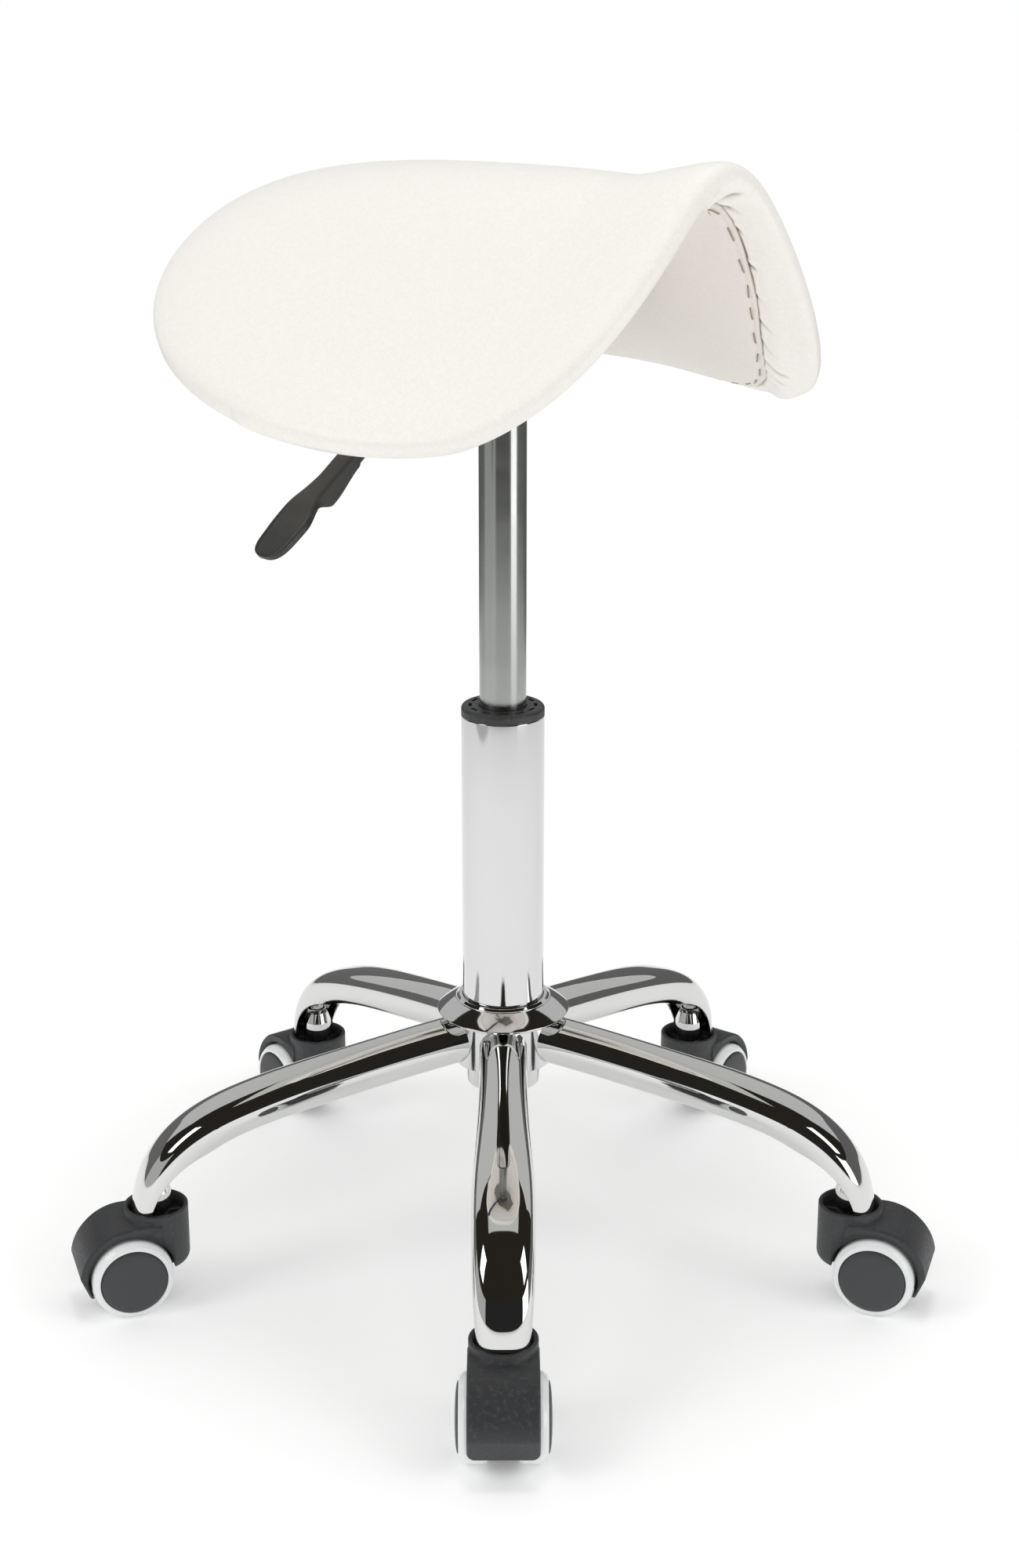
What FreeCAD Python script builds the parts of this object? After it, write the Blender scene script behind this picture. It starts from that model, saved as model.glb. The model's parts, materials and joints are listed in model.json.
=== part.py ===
import FreeCAD, Part
import math
import os
import Sketcher
from types import SimpleNamespace

# Dentist's saddle stool: five-castor base, gas lift, saddle seat and height lever.
# Millimetres.  The origin is on the floor under the column, +Z is up, and one leg points along -Y.
# Every size is a cell of the sheet "Dims"; sketches and features are bound to those cells.

Vector = FreeCAD.Vector
Rotation = FreeCAD.Rotation
Placement = FreeCAD.Placement
Z_AXIS = Vector(0, 0, 1)
Y_AXIS = Vector(0, 1, 0)

# ---------------------------------------------------------------- driving dimensions
SIZES = {
    # column tube and its guide bush
    "tube_radius": 25.0,          # outside of the column tube
    "tube_wall": 1.6,
    "tube_top": 353.5,            # height of the tube's upper rim
    "tube_bottom": 114.0,
    "taper_top": 172.0,           # below this height the tube tapers into the hub
    "taper_radius": 22.5,         # outside radius at the tube's lower end
    "tube_floor": 3.5,            # plate that closes the lower end
    "bush_rise": 5.5,             # collar above the tube
    "bush_edge": 2.0,
    "bush_length": 80.0,
    "bush_fit": 0.1,              # bush inside the tube, on radius
    "slot_count": 12,             # moulded slots in the collar's top face
    "slot_circle": 19.5,
    "slot_long": 6.2,
    "slot_wide": 2.0,
    "slot_deep": 2.0,
    "slide_fit": 0.06,            # lift cylinder in the bush, on radius
    "press_gap": 0.05,            # parts pushed together in one assembly, on radius
    "run_gap": 0.3,               # faces that turn past each other
    # gas lift
    "lift_radius": 14.0,
    "lift_wall": 1.6,
    "lift_bottom": 292.0,         # lower end of the cylinder, lift fully out
    "lift_cone_start": 540.0,     # the top of the cylinder is a slight cone
    "lift_top": 582.0,
    "lift_cone_radius": 13.0,
    "lift_cap": 6.0,              # thickness of the closed top
    "lift_travel": 140.0,
    "rod_radius": 5.0,
    "rod_bottom": 107.0,
    "rod_spigot": 3.5,            # radius that carries the piston
    "rod_collar": 8.0,
    "rod_collar_thick": 2.2,
    "rod_fit": 0.05,
    "guide_length": 14.0,
    "piston_length": 10.0,
    "piston_shoulder": 308.0,
    "spigot_length": 12.0,
    "bearing_radius": 12.0,
    "bearing_thick": 5.0,
    "bumper_radius": 11.0,
    "bumper_clear": 2.0,          # left over the bumper when the lift is fully down
    "clip_radius": 9.0,
    "clip_thick": 1.6,
    "clip_groove": 4.2,
    "pin_radius": 3.05,
    "pin_length": 18.0,
    "pin_head": 5.0,
    "pin_head_thick": 2.7,
    "pin_stand": 6.0,             # how far the release pin stands out of the cylinder
    # hub of the five legs
    "hub_radius": 30.5,
    "hub_bottom": 129.0,
    "hub_neck": 160.3,            # underside of the flared collar
    "collar_radius": 40.5,
    "collar_edge": 164.2,
    "collar_waist_out": 32.5,
    "collar_waist_up": 166.6,
    "lip_radius": 27.6,
    "lip_bottom": 170.4,
    "hub_round": 1.6,
    # legs
    "leg_count": 5,
    "leg_wall": 2.0,
    "leg_inner_sink": 9.0,        # how far the hollow runs out of the leg's open end
    "mouth_out": 178.0,           # the leg's lower side opens along this cylinder
    "mouth_up": 50.0,
    "mouth_radius": 51.0,
    "stem_circle": 222.6,         # castor stems stand on this radius
    "sleeve_radius": 9.5,
    "sleeve_bottom": 61.0,
    "sleeve_shoulder": 73.0,
    "sleeve_top": 82.0,
    "sleeve_neck": 6.4,
    "sleeve_bore": 5.5,
    "gusset_thick": 4.0,
    # castor stems
    "stem_radius": 5.0,
    "stem_bottom": 30.0,
    "flange_radius": 7.5,
    "flange_bottom": 58.7,
    "flange_thick": 2.0,
    "groove_radius": 4.2,
    "groove_bottom": 64.0,
    "groove_top": 76.0,
    "stem_head": 4.8,
    "stem_top": 88.0,
    "ring_outer": 5.45,
    "ring_turn": 330.0,           # the grip ring is split
    # castors
    "cup_radius": 19.5,
    "cup_top": 63.0,
    "cup_wall": 2.3,
    "cup_floor": 54.5,
    "cup_bottom": 24.5,
    "cup_round": 6.5,
    "boss_radius": 8.0,
    "boss_top": 58.4,
    "rib_count": 8,
    "rib_thick": 1.2,
    "rib_top": 57.4,
    "trail": 19.0,                # wheel axle behind the stem
    "wheel_radius": 25.0,
    "fender_width": 40.0,
    "fender_top": 57.5,
    "fender_radius": 31.0,        # the fender is an arc round the wheel, drawn as two roundings
    "fender_crown_out": 31.5,
    "fender_back_out": 48.5,
    "fender_back_up": 40.5,
    "fender_end_out": 50.5,
    "fender_end_up": 29.0,
    "fender_tip_out": 44.2,
    "fender_tip_up": 10.8,
    "fender_round": 1.5,
    "web_thick": 15.0,
    "web_bottom": 13.0,
    "wheel_clear": 2.0,
    "axle_radius": 4.0,
    "axle_fit": 0.02,
    "axle_half": 22.0,
    "bore_fit": 0.06,
    "wheel_inner": 8.2,           # side gap between the web and the wheel hub
    "wheel_face": 24.9,           # rim of the wheel's outer face, from the centre plane
    "dome_rise": 2.0,
    "wheel_hub": 7.5,
    "drum_radius": 20.4,
    "drum_wall": 2.2,
    "disc_thick": 3.4,
    "disc_radius": 19.6,
    "tread_inner": 8.4,
    "tread_outer": 24.6,
    "tread_round": 2.4,
    # seat mechanism, in the seat's frame: X to the sitter's right, Y to the front
    "seat_turn": -137.6945,       # turn of the seat's frame about the column
    "plate_wide": 76.0,
    "plate_long": 150.0,
    "plate_thick": 3.0,
    "plate_bottom": 603.0,
    "plate_round": 8.0,
    "socket_radius": 20.0,
    "socket_bottom": 558.0,
    "socket_fit": 0.09,
    "socket_room": 13.4,          # radius of the hollow over the cone
    "arm_slot": 12.0,
    "arm_slot_bottom": 582.6,
    "ear_thick": 2.5,
    "ear_gap": 12.0,              # between the two ears that hold the lever pin
    "ear_start": 18.0,
    "ear_end": 33.0,
    "ear_bottom": 583.0,
    "bolt_across": 52.0,          # bolt pattern, side to side
    "bolt_along": 120.0,          # bolt pattern, front to rear
    "bolt_radius": 4.0,
    "bolt_hole": 4.3,
    "bolt_head": 6.5,
    "bolt_head_thick": 5.0,
    "bolt_flange": 8.5,
    "bolt_flange_thick": 1.5,
    "insert_radius": 5.5,
    "insert_length": 9.0,
    "block_top": 645.0,
    # height lever
    "pivot_out": 24.0,
    "pivot_up": 591.0,
    "lever_drop": 37.4,           # degrees below the horizontal
    "pivot_radius": 2.95,
    "pivot_fit": 0.05,
    "pivot_head": 4.5,
    "pivot_head_thick": 1.6,
    "arm_boss": 6.5,
    "arm_thick": 4.0,
    "arm_wide": 10.0,
    "arm_length": 120.0,
    "nose_reach": 27.0,           # the nose ends this far inwards of the pivot
    "nose_thick": 4.5,
    "grip_start": 52.0,
    "grip_end": 187.0,
    "grip_thick": 8.0,
    "neck_half": 11.5,
    "paddle_half": 13.8,
    "paddle_start": 138.0,
    "paddle_round": 9.0,
    # saddle seat
    "seat_long": 370.0,
    "seat_half": 214.8,           # half width along the curved middle surface
    "seat_shift": -8.37,          # outline centre ahead of the column
    "seat_height": 647.0,         # middle surface at the lowest point of the ridge
    "ridge_low": 110.0,           # that point, ahead of the outline centre
    "pommel_rise": 21.2,
    "rear_rise": 4.55,
    "pommel_power": 1.41,
    "rear_power": 1.40,
    "front_bend": 0.0418,         # curvature of the ridge across the seat, 1/mm
    "rear_bend": 0.0063,
    "front_slope": 52.24,         # steepest side slope, degrees
    "rear_slope": 41.47,
    "flare": 49.2,
    "pad_thick": 53.75,
    "pad_front": 0.652,           # front thickness as a share of the rear one
    "pad_power": 3.06,
    "pad_below": 0.4266,          # share of the thickness under the middle surface
    "outline_lean": -0.1496,
    "outline_waist": -0.1018,
    "side_power": 0.7439,
    "front_power": 1.2666,
    "wing_sweep": 14.8,
    "nose_up": 4.12,
    "pitch_height": 620.0,
    "cover_thick": 1.5,
    "skin_gap": 0.6,
    "seam_inset": 28.0,           # cover turned under the seat, up to its seam
    "panel_thick": 1.8,
    "shell_inset": 24.0,
    "shell_thick": 9.0,
}

# Leg sections from hub to castor: reach from the column, height, half width, half height, and the
# slope of the leg below the horizontal in degrees.
LEG_SECTIONS = [
    (24.0, 146.0, 14.6, 14.5, 7.0),
    (60.0, 140.4, 14.6, 14.5, 9.5),
    (100.0, 133.2, 15.3, 14.0, 10.5),
    (135.0, 126.6, 16.8, 12.9, 13.0),
    (165.0, 119.3, 18.0, 12.2, 18.0),
    (190.0, 109.5, 18.0, 12.2, 28.0),
    (208.5, 95.5, 17.5, 12.5, 46.0),
    (220.3, 77.5, 16.6, 12.4, 66.0),
    (225.6, 58.5, 14.8, 11.8, 79.0),
]
LEG_FIELDS = ("reach", "height", "half_width", "half_height", "slope")

doc = FreeCAD.newDocument("dentist_stool")
sheet = doc.addObject("Spreadsheet::Sheet", "Dims")


class Size:
    """A number together with the expression that ties it to the sheet."""

    def __init__(self, value, text):
        self.value = float(value)
        self.text = text

    @staticmethod
    def of(item):
        return item if isinstance(item, Size) else Size(item, f"({float(item)!r})")

    def _join(self, other, sign, value):
        return Size(value, f"({self.text} {sign} {other.text})")

    def __add__(self, other):
        other = Size.of(other)
        return self._join(other, "+", self.value + other.value)

    def __sub__(self, other):
        other = Size.of(other)
        return self._join(other, "-", self.value - other.value)

    def __mul__(self, other):
        other = Size.of(other)
        return self._join(other, "*", self.value * other.value)

    def __truediv__(self, other):
        other = Size.of(other)
        return self._join(other, "/", self.value / other.value)

    def __radd__(self, other):
        return Size.of(other) + self

    def __rsub__(self, other):
        return Size.of(other) - self

    def __rmul__(self, other):
        return Size.of(other) * self

    def __neg__(self):
        return Size(-self.value, f"(0 - {self.text})")

    def __float__(self):
        return self.value


class Bend:
    """Stands between two corners: the edge is an arc, radius > 0 turning left, < 0 turning right."""

    def __init__(self, radius):
        self.radius = radius


def fill_sheet():
    """Write every driving dimension into the sheet; return them as named Sizes."""
    cells = dict(SIZES)
    for number, section in enumerate(LEG_SECTIONS):
        cells.update({f"leg_{field}_{number}x": value for field, value in zip(LEG_FIELDS, section)})
    for row, (alias, value) in enumerate(cells.items(), start=1):
        sheet.set(f"A{row}", alias)
        sheet.set(f"B{row}", str(value))
        sheet.setAlias(f"B{row}", alias)
    return SimpleNamespace(**{alias: Size(value, f"Dims.{alias}") for alias, value in cells.items()})


D = fill_sheet()
doc.recompute()


def bind(target, prop, size):
    """Set a property and tie it to the sheet."""
    target.setExpression(prop, Size.of(size).text)


# ---------------------------------------------------------------- sketches and features
def new_body(name, groups=False):
    body = doc.addObject("PartDesign::Body", name)
    body.Label = name
    body.AllowCompound = groups
    return body


def origin_feature(body, role):
    return [item for item in body.Origin.OriginFeatures if item.Role == role][0]


def new_sketch(body, role, across=0, along=0, out=0, turn=0):
    """Sketch on an origin plane of the body, its origin moved and turned within that plane."""
    sketch = body.newObject("Sketcher::SketchObject", body.Name + "_sketch")
    sketch.AttachmentSupport = [(origin_feature(body, role), "")]
    sketch.MapMode = "FlatFace"
    shift = Vector(float(across), float(along), float(out))
    sketch.AttachmentOffset = Placement(shift, Rotation(Z_AXIS, float(turn)))
    for axis, size in (("x", across), ("y", along), ("z", out)):
        if isinstance(size, Size):
            bind(sketch, f"AttachmentOffset.Base.{axis}", size)
    if isinstance(turn, Size):
        bind(sketch, "AttachmentOffset.Rotation.Angle", turn)
    return sketch


def fix(sketch, constraint, size=None):
    """Add a constraint and bind its value to the sheet."""
    number = sketch.addConstraint(constraint)
    if size is not None:
        bind(sketch, f"Constraints[{number}]", size)


def fix_point(sketch, geometry, point, across, along):
    fix(sketch, Sketcher.Constraint("DistanceX", -1, 1, geometry, point, float(across)), across)
    fix(sketch, Sketcher.Constraint("DistanceY", -1, 1, geometry, point, float(along)), along)


def flat(pair):
    return Vector(float(pair[0]), float(pair[1]), 0)


def arc_between(start, end, radius, left):
    """Part arc from start to end; the returned flag says that the arc runs from end to start."""
    chord = end - start
    half = chord.Length / 2
    rise = math.sqrt(max(radius * radius - half * half, 0.0))
    side = Vector(-chord.y, chord.x, 0).normalize() * (rise if left else -rise)
    centre = (start + end) * 0.5 + side
    first, last = (start, end) if left else (end, start)
    angles = [math.atan2(spot.y - centre.y, spot.x - centre.x) for spot in (first, last)]
    if angles[1] < angles[0]:
        angles[1] += 2 * math.pi
    circle = Part.Circle(centre, Z_AXIS, radius)
    return Part.ArcOfCircle(circle, angles[0], angles[1]), not left


def outline(sketch, items):
    """Closed outline of corners (across, along[, rounding]) with Bend items for curved edges."""
    corners, bends = [], {}
    for item in items:
        if isinstance(item, Bend):
            bends[len(corners) - 1] = item.radius
        else:
            corners.append(item)
    count = len(corners)
    spots = [flat(corner) for corner in corners]
    rounding = [corner[2] if len(corner) > 2 else None for corner in corners]
    enter, leave, arcs = list(spots), list(spots), {}
    for number, radius in enumerate(rounding):
        if radius is None:
            continue
        back = (spots[number - 1] - spots[number]).normalize()
        ahead = (spots[(number + 1) % count] - spots[number]).normalize()
        reach = float(radius) / math.tan(back.getAngle(ahead) / 2)
        enter[number] = spots[number] + back * reach
        leave[number] = spots[number] + ahead * reach
        arcs[number] = back.cross(ahead).z < 0
    edges = []
    for number in range(count):
        start, end = leave[number], enter[(number + 1) % count]
        if number in bends:
            radius = bends[number]
            shape, swapped = arc_between(start, end, abs(float(radius)), float(radius) > 0)
            index = sketch.addGeometry(shape, False)
            edges.append((index, 2, 1) if swapped else (index, 1, 2))
            fix(sketch, Sketcher.Constraint("Radius", index, abs(float(radius))),
                radius if float(radius) > 0 else -Size.of(radius))
        else:
            edges.append((sketch.addGeometry(Part.LineSegment(start, end), False), 1, 2))
    for number in range(count):
        before, after = edges[number - 1], edges[number]
        if rounding[number] is None:
            fix(sketch, Sketcher.Constraint("Coincident", before[0], before[2], after[0], after[1]))
            fix_point(sketch, after[0], after[1], *corners[number][:2])
            continue
        radius = rounding[number]
        shape, swapped = arc_between(enter[number], leave[number], float(radius), arcs[number])
        round_edge = sketch.addGeometry(shape, False)
        first, last = (2, 1) if swapped else (1, 2)
        corner = sketch.addGeometry(Part.Point(spots[number]), True)
        fix_point(sketch, corner, 1, *corners[number][:2])
        fix(sketch, Sketcher.Constraint("PointOnObject", corner, 1, before[0]))
        fix(sketch, Sketcher.Constraint("PointOnObject", corner, 1, after[0]))
        fix(sketch, Sketcher.Constraint("Tangent", before[0], before[2], round_edge, first))
        fix(sketch, Sketcher.Constraint("Tangent", round_edge, last, after[0], after[1]))
        fix(sketch, Sketcher.Constraint("Radius", round_edge, float(radius)), radius)


def circle(sketch, across, along, radius):
    centre = Vector(float(across), float(along), 0)
    index = sketch.addGeometry(Part.Circle(centre, Z_AXIS, float(radius)), False)
    fix_point(sketch, index, 3, across, along)
    fix(sketch, Sketcher.Constraint("Radius", index, float(radius)), radius)


def rectangle(sketch, left, right, low, high, rounding=None):
    tail = () if rounding is None else (rounding,)
    outline(sketch, [spot + tail for spot in ((left, low), (right, low), (right, high), (left, high))])


def extrude(body, kind, sketch, length=None, both=False, back=False):
    """Pad or Pocket; without a length a Pocket goes through everything."""
    feature = body.newObject("PartDesign::" + kind, body.Name + "_" + kind.lower())
    feature.Profile = sketch
    feature.SideType = "Symmetric" if both else "One side"
    feature.Reversed = back
    if length is None:
        feature.Type = "ThroughAll"
    else:
        bind(feature, "Length", length)
    doc.recompute()
    return feature


def spin(body, kind, sketch, angle=360.0):
    """Revolution or Groove about the sketch's upright axis."""
    feature = body.newObject("PartDesign::" + kind, body.Name + "_" + kind.lower())
    feature.Profile = sketch
    feature.ReferenceAxis = (sketch, ["V_Axis"])
    bind(feature, "Angle", angle)
    doc.recompute()
    return feature


def around(body, feature, count):
    """Repeat a feature round the body's Z axis."""
    pattern = body.newObject("PartDesign::PolarPattern", body.Name + "_pattern")
    pattern.Originals = [feature]
    pattern.Axis = (origin_feature(body, "Z_Axis"), [""])
    pattern.Angle = 360.0
    bind(pattern, "Occurrences", count)
    body.Tip = pattern
    doc.recompute()


def turned(name, corners, plane="XZ_Plane", angle=360.0, across=0, repeat=None):
    """Turned piece: corners are (radius, place along the axis)."""
    body = new_body(name, groups=repeat is not None)
    sketch = new_sketch(body, plane, across=across)
    outline(sketch, corners)
    feature = spin(body, "Revolution", sketch, angle)
    if repeat is not None:
        around(body, feature, repeat)
    return body


def place(piece, turn=0.0, across=0.0, along=0.0, up=0.0, tilt=None):
    """Put a piece at (across, along, up) in a frame turned about the column."""
    spot = Placement(Vector(float(across), float(along), float(up)), tilt or Rotation())
    piece.Placement = Placement(Vector(), Rotation(Z_AXIS, float(turn))) * spot
    return piece


# ---------------------------------------------------------------- column and gas lift
def tube_radius_at(height):
    """Outside radius of the column tube in its tapered part."""
    share = (height - D.tube_bottom) / (D.taper_top - D.tube_bottom)
    return D.taper_radius + (D.tube_radius - D.taper_radius) * share


def lift_radius_at(height):
    """Outside radius of the lift cylinder in its coned top."""
    share = (height - D.lift_cone_start) / (D.lift_top - D.lift_cone_start)
    return D.lift_radius - (D.lift_radius - D.lift_cone_radius) * share


def make_column():
    floor_top = D.tube_bottom + D.tube_floor
    rod_hole = D.rod_radius + D.rod_fit
    inside = D.tube_radius - D.tube_wall
    tube = turned("column_tube", [
        (rod_hole, D.tube_bottom),
        (D.taper_radius, D.tube_bottom, 1.0),
        (D.tube_radius, D.taper_top),
        (D.tube_radius, D.tube_top),
        (inside, D.tube_top),
        (inside, D.taper_top),
        (tube_radius_at(floor_top) - D.tube_wall, floor_top),
        (rod_hole, floor_top),
    ])
    bore = D.lift_radius + D.slide_fit
    skirt = inside - D.bush_fit
    collar_top = D.tube_top + D.bush_rise
    bush = turned("guide_bush", [
        (bore, D.tube_top - D.bush_length),
        (skirt, D.tube_top - D.bush_length, 1.0),
        (skirt, D.tube_top),
        (D.tube_radius, D.tube_top),
        (D.tube_radius, collar_top, D.bush_edge),
        (bore, collar_top, 0.8),
    ])
    slot = new_sketch(bush, "XY_Plane", out=collar_top)
    rectangle(slot, D.slot_circle - D.slot_wide / 2, D.slot_circle + D.slot_wide / 2,
              -D.slot_long / 2, D.slot_long / 2, 0.7)
    around(bush, extrude(bush, "Pocket", slot, D.slot_deep), D.slot_count)
    bearing_top = floor_top + D.bearing_thick
    bearing = turned("thrust_bearing", [
        (rod_hole, floor_top),
        (D.bearing_radius, floor_top, 0.6),
        (D.bearing_radius, bearing_top, 0.6),
        (rod_hole, bearing_top),
    ])
    return [tube, bush, bearing]


def make_rod():
    """Piston rod with what it carries; it turns on the thrust bearing."""
    collar_low = D.tube_bottom + D.tube_floor + D.bearing_thick + D.run_gap
    collar_high = collar_low + D.rod_collar_thick
    clip_top = D.tube_bottom - D.run_gap
    clip_low = clip_top - D.clip_thick
    rod = turned("piston_rod", [
        (0, D.rod_bottom),
        (D.rod_radius, D.rod_bottom, 0.8),
        (D.rod_radius, clip_low - D.press_gap),
        (D.clip_groove, clip_low - D.press_gap),
        (D.clip_groove, clip_top + D.press_gap),
        (D.rod_radius, clip_top + D.press_gap),
        (D.rod_radius, collar_low),
        (D.rod_collar, collar_low),
        (D.rod_collar, collar_high),
        (D.rod_radius, collar_high),
        (D.rod_radius, D.piston_shoulder),
        (D.rod_spigot, D.piston_shoulder),
        (D.rod_spigot, D.piston_shoulder + D.spigot_length, 0.6),
        (0, D.piston_shoulder + D.spigot_length),
    ])
    clip = turned("retaining_clip", [
        (D.clip_groove + D.press_gap, clip_low),
        (D.clip_radius, clip_low),
        (D.clip_radius, clip_top),
        (D.clip_groove + D.press_gap, clip_top),
    ], angle=D.ring_turn)
    bumper_top = D.lift_bottom - D.lift_travel - D.bumper_clear
    bumper = turned("rubber_bumper", [
        (D.rod_radius + D.press_gap, collar_high),
        (D.bumper_radius, collar_high, 2.0),
        (D.bumper_radius, bumper_top, 3.0),
        (D.rod_radius + D.press_gap, bumper_top),
    ])
    skirt = D.lift_radius - D.lift_wall - D.rod_fit
    piston_top = D.piston_shoulder + D.piston_length
    piston = turned("piston", [
        (D.rod_spigot + D.press_gap, D.piston_shoulder),
        (skirt, D.piston_shoulder, 0.8),
        (skirt, piston_top, 0.8),
        (D.rod_spigot + D.press_gap, piston_top),
    ])
    return [rod, clip, bumper, piston]


def make_lift():
    """Cylinder that carries the seat, the guide in its mouth, and the release pin in its top."""
    bore = D.lift_radius - D.lift_wall
    cap_low = D.lift_top - D.lift_cap
    pin_hole = D.pin_radius + D.rod_fit
    cylinder = turned("lift_cylinder", [
        (bore, D.lift_bottom),
        (D.lift_radius, D.lift_bottom, 0.6),
        (D.lift_radius, D.lift_cone_start),
        (D.lift_cone_radius, D.lift_top, 0.8),
        (pin_hole, D.lift_top),
        (pin_hole, cap_low),
        (D.lift_cone_radius - D.lift_wall, cap_low),
        (D.lift_cone_radius - D.lift_wall, D.lift_cone_start + D.lift_wall),
        (bore, D.lift_cone_start),
    ])
    guide = turned("rod_guide", [
        (D.rod_radius + D.rod_fit, D.lift_bottom),
        (bore - D.press_gap, D.lift_bottom),
        (bore - D.press_gap, D.lift_bottom + D.guide_length),
        (D.rod_radius + D.rod_fit, D.lift_bottom + D.guide_length),
    ])
    pin_top = D.lift_top + D.pin_stand
    head_top = cap_low - D.run_gap
    pin = turned("release_pin", [
        (0, pin_top - D.pin_length),
        (D.pin_radius, pin_top - D.pin_length),
        (D.pin_radius, head_top - D.pin_head_thick),
        (D.pin_head, head_top - D.pin_head_thick),
        (D.pin_head, head_top),
        (D.pin_radius, head_top),
        (D.pin_radius, pin_top, 1.0),
        (0, pin_top),
    ])
    return [cylinder, guide, pin]


# ---------------------------------------------------------------- hub and legs
def make_hub():
    low_bore = tube_radius_at(D.hub_bottom) + D.press_gap
    return turned("hub", [
        (low_bore, D.hub_bottom),
        (D.hub_radius, D.hub_bottom, D.hub_round),
        (D.hub_radius, D.hub_neck),
        (D.collar_radius, D.hub_neck, D.hub_round),
        (D.collar_radius, D.collar_edge, D.hub_round),
        (D.collar_waist_out, D.collar_waist_up, 12.0),
        (D.lip_radius, D.lip_bottom, 0.8),
        (D.lip_radius, D.taper_top, 0.6),
        (D.tube_radius + D.press_gap, D.taper_top),
    ])


def leg_section(name, number, wall, sink):
    """Ellipse square to the leg's path; wall shrinks it, sink pushes it out along the path."""
    fields = {field: getattr(D, f"leg_{field}_{number}x") for field in LEG_FIELDS}
    slope = math.radians(float(fields["slope"]))
    ring = doc.addObject("Part::Ellipse", f"{name}_ring")
    ring.MajorRadius = float(fields["half_width"] - wall)
    ring.MinorRadius = float(fields["half_height"] - wall)
    bind(ring, "MajorRadius", fields["half_width"] - wall)
    bind(ring, "MinorRadius", fields["half_height"] - wall)
    along = Vector(math.cos(slope), 0, -math.sin(slope))
    upward = Vector(math.sin(slope), 0, math.cos(slope))
    centre = Vector(float(fields["reach"]), 0, float(fields["height"])) + along * float(sink)
    ring.Placement = Placement(centre, Rotation(Y_AXIS, upward, along, "ZXY"))
    return ring


def leg_loft(name, wall, sink):
    last = len(LEG_SECTIONS) - 1
    loft = doc.addObject("Part::Loft", name)
    loft.Sections = [leg_section(name, number, wall, sink if number == last else 0)
                     for number in range(last + 1)]
    loft.Solid = True
    return loft


def cylinder(name, radius, height, across=0.0, up=0.0, lying=False):
    """Part cylinder on the Z axis, or lying along Y and centred on the XZ plane."""
    piece = doc.addObject("Part::Cylinder", name)
    bind(piece, "Radius", radius)
    bind(piece, "Height", height)
    along = float(height) / 2 if lying else 0.0
    tilt = Rotation(Vector(1, 0, 0), 90) if lying else Rotation()
    piece.Placement = Placement(Vector(float(across), along, float(up)), tilt)
    return piece


def cut(name, base, tool):
    piece = doc.addObject("Part::Cut", name)
    piece.Base = base
    piece.Tool = tool
    return piece


def fuse(name, shapes):
    piece = doc.addObject("Part::MultiFuse", name)
    piece.Shapes = shapes
    return piece


def make_leg(name, angle):
    """Hollow pressed leg, open below its end, with the welded socket for the castor stem."""
    outside = leg_loft(name + "_outside", Size.of(0), 0)
    hollow = leg_loft(name + "_hollow", D.leg_wall, D.leg_inner_sink)
    shell = cut(name + "_shell", outside, hollow)
    mouth = cylinder(name + "_mouth", D.mouth_radius, D.leg_half_width_4x * 4,
                     D.mouth_out, D.mouth_up, lying=True)
    shell = cut(name + "_open", shell, mouth)
    sleeve = cylinder(name + "_sleeve", D.sleeve_radius, D.sleeve_shoulder - D.sleeve_bottom,
                      D.stem_circle, D.sleeve_bottom)
    neck = doc.addObject("Part::Cone", name + "_neck")
    bind(neck, "Radius1", D.sleeve_radius)
    bind(neck, "Radius2", D.sleeve_neck)
    bind(neck, "Height", D.sleeve_top - D.sleeve_shoulder)
    neck.Placement = Placement(Vector(float(D.stem_circle), 0, float(D.sleeve_shoulder)), Rotation())
    plate = doc.addObject("Part::Box", name + "_plate")
    bind(plate, "Length", D.stem_circle - D.mouth_out)
    bind(plate, "Width", D.gusset_thick)
    bind(plate, "Height", D.sleeve_top - D.sleeve_bottom)
    plate.Placement = Placement(
        Vector(float(D.stem_circle), -float(D.gusset_thick) / 2, float(D.sleeve_bottom)), Rotation())
    gusset = doc.addObject("Part::Common", name + "_gusset")
    gusset.Base = plate
    gusset.Tool = leg_loft(name + "_limit", Size.of(0.5), 0)
    welded = fuse(name + "_welded", [shell, sleeve, neck, gusset])
    bore = cylinder(name + "_bore", D.sleeve_bore, D.sleeve_top, D.stem_circle, 0.0)
    cope = cylinder(name + "_cope", D.hub_radius + D.press_gap, D.hub_neck * 2)
    leg = cut(name, welded, fuse(name + "_holes", [bore, cope]))
    leg.Label = name
    return place(leg, angle)


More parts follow.
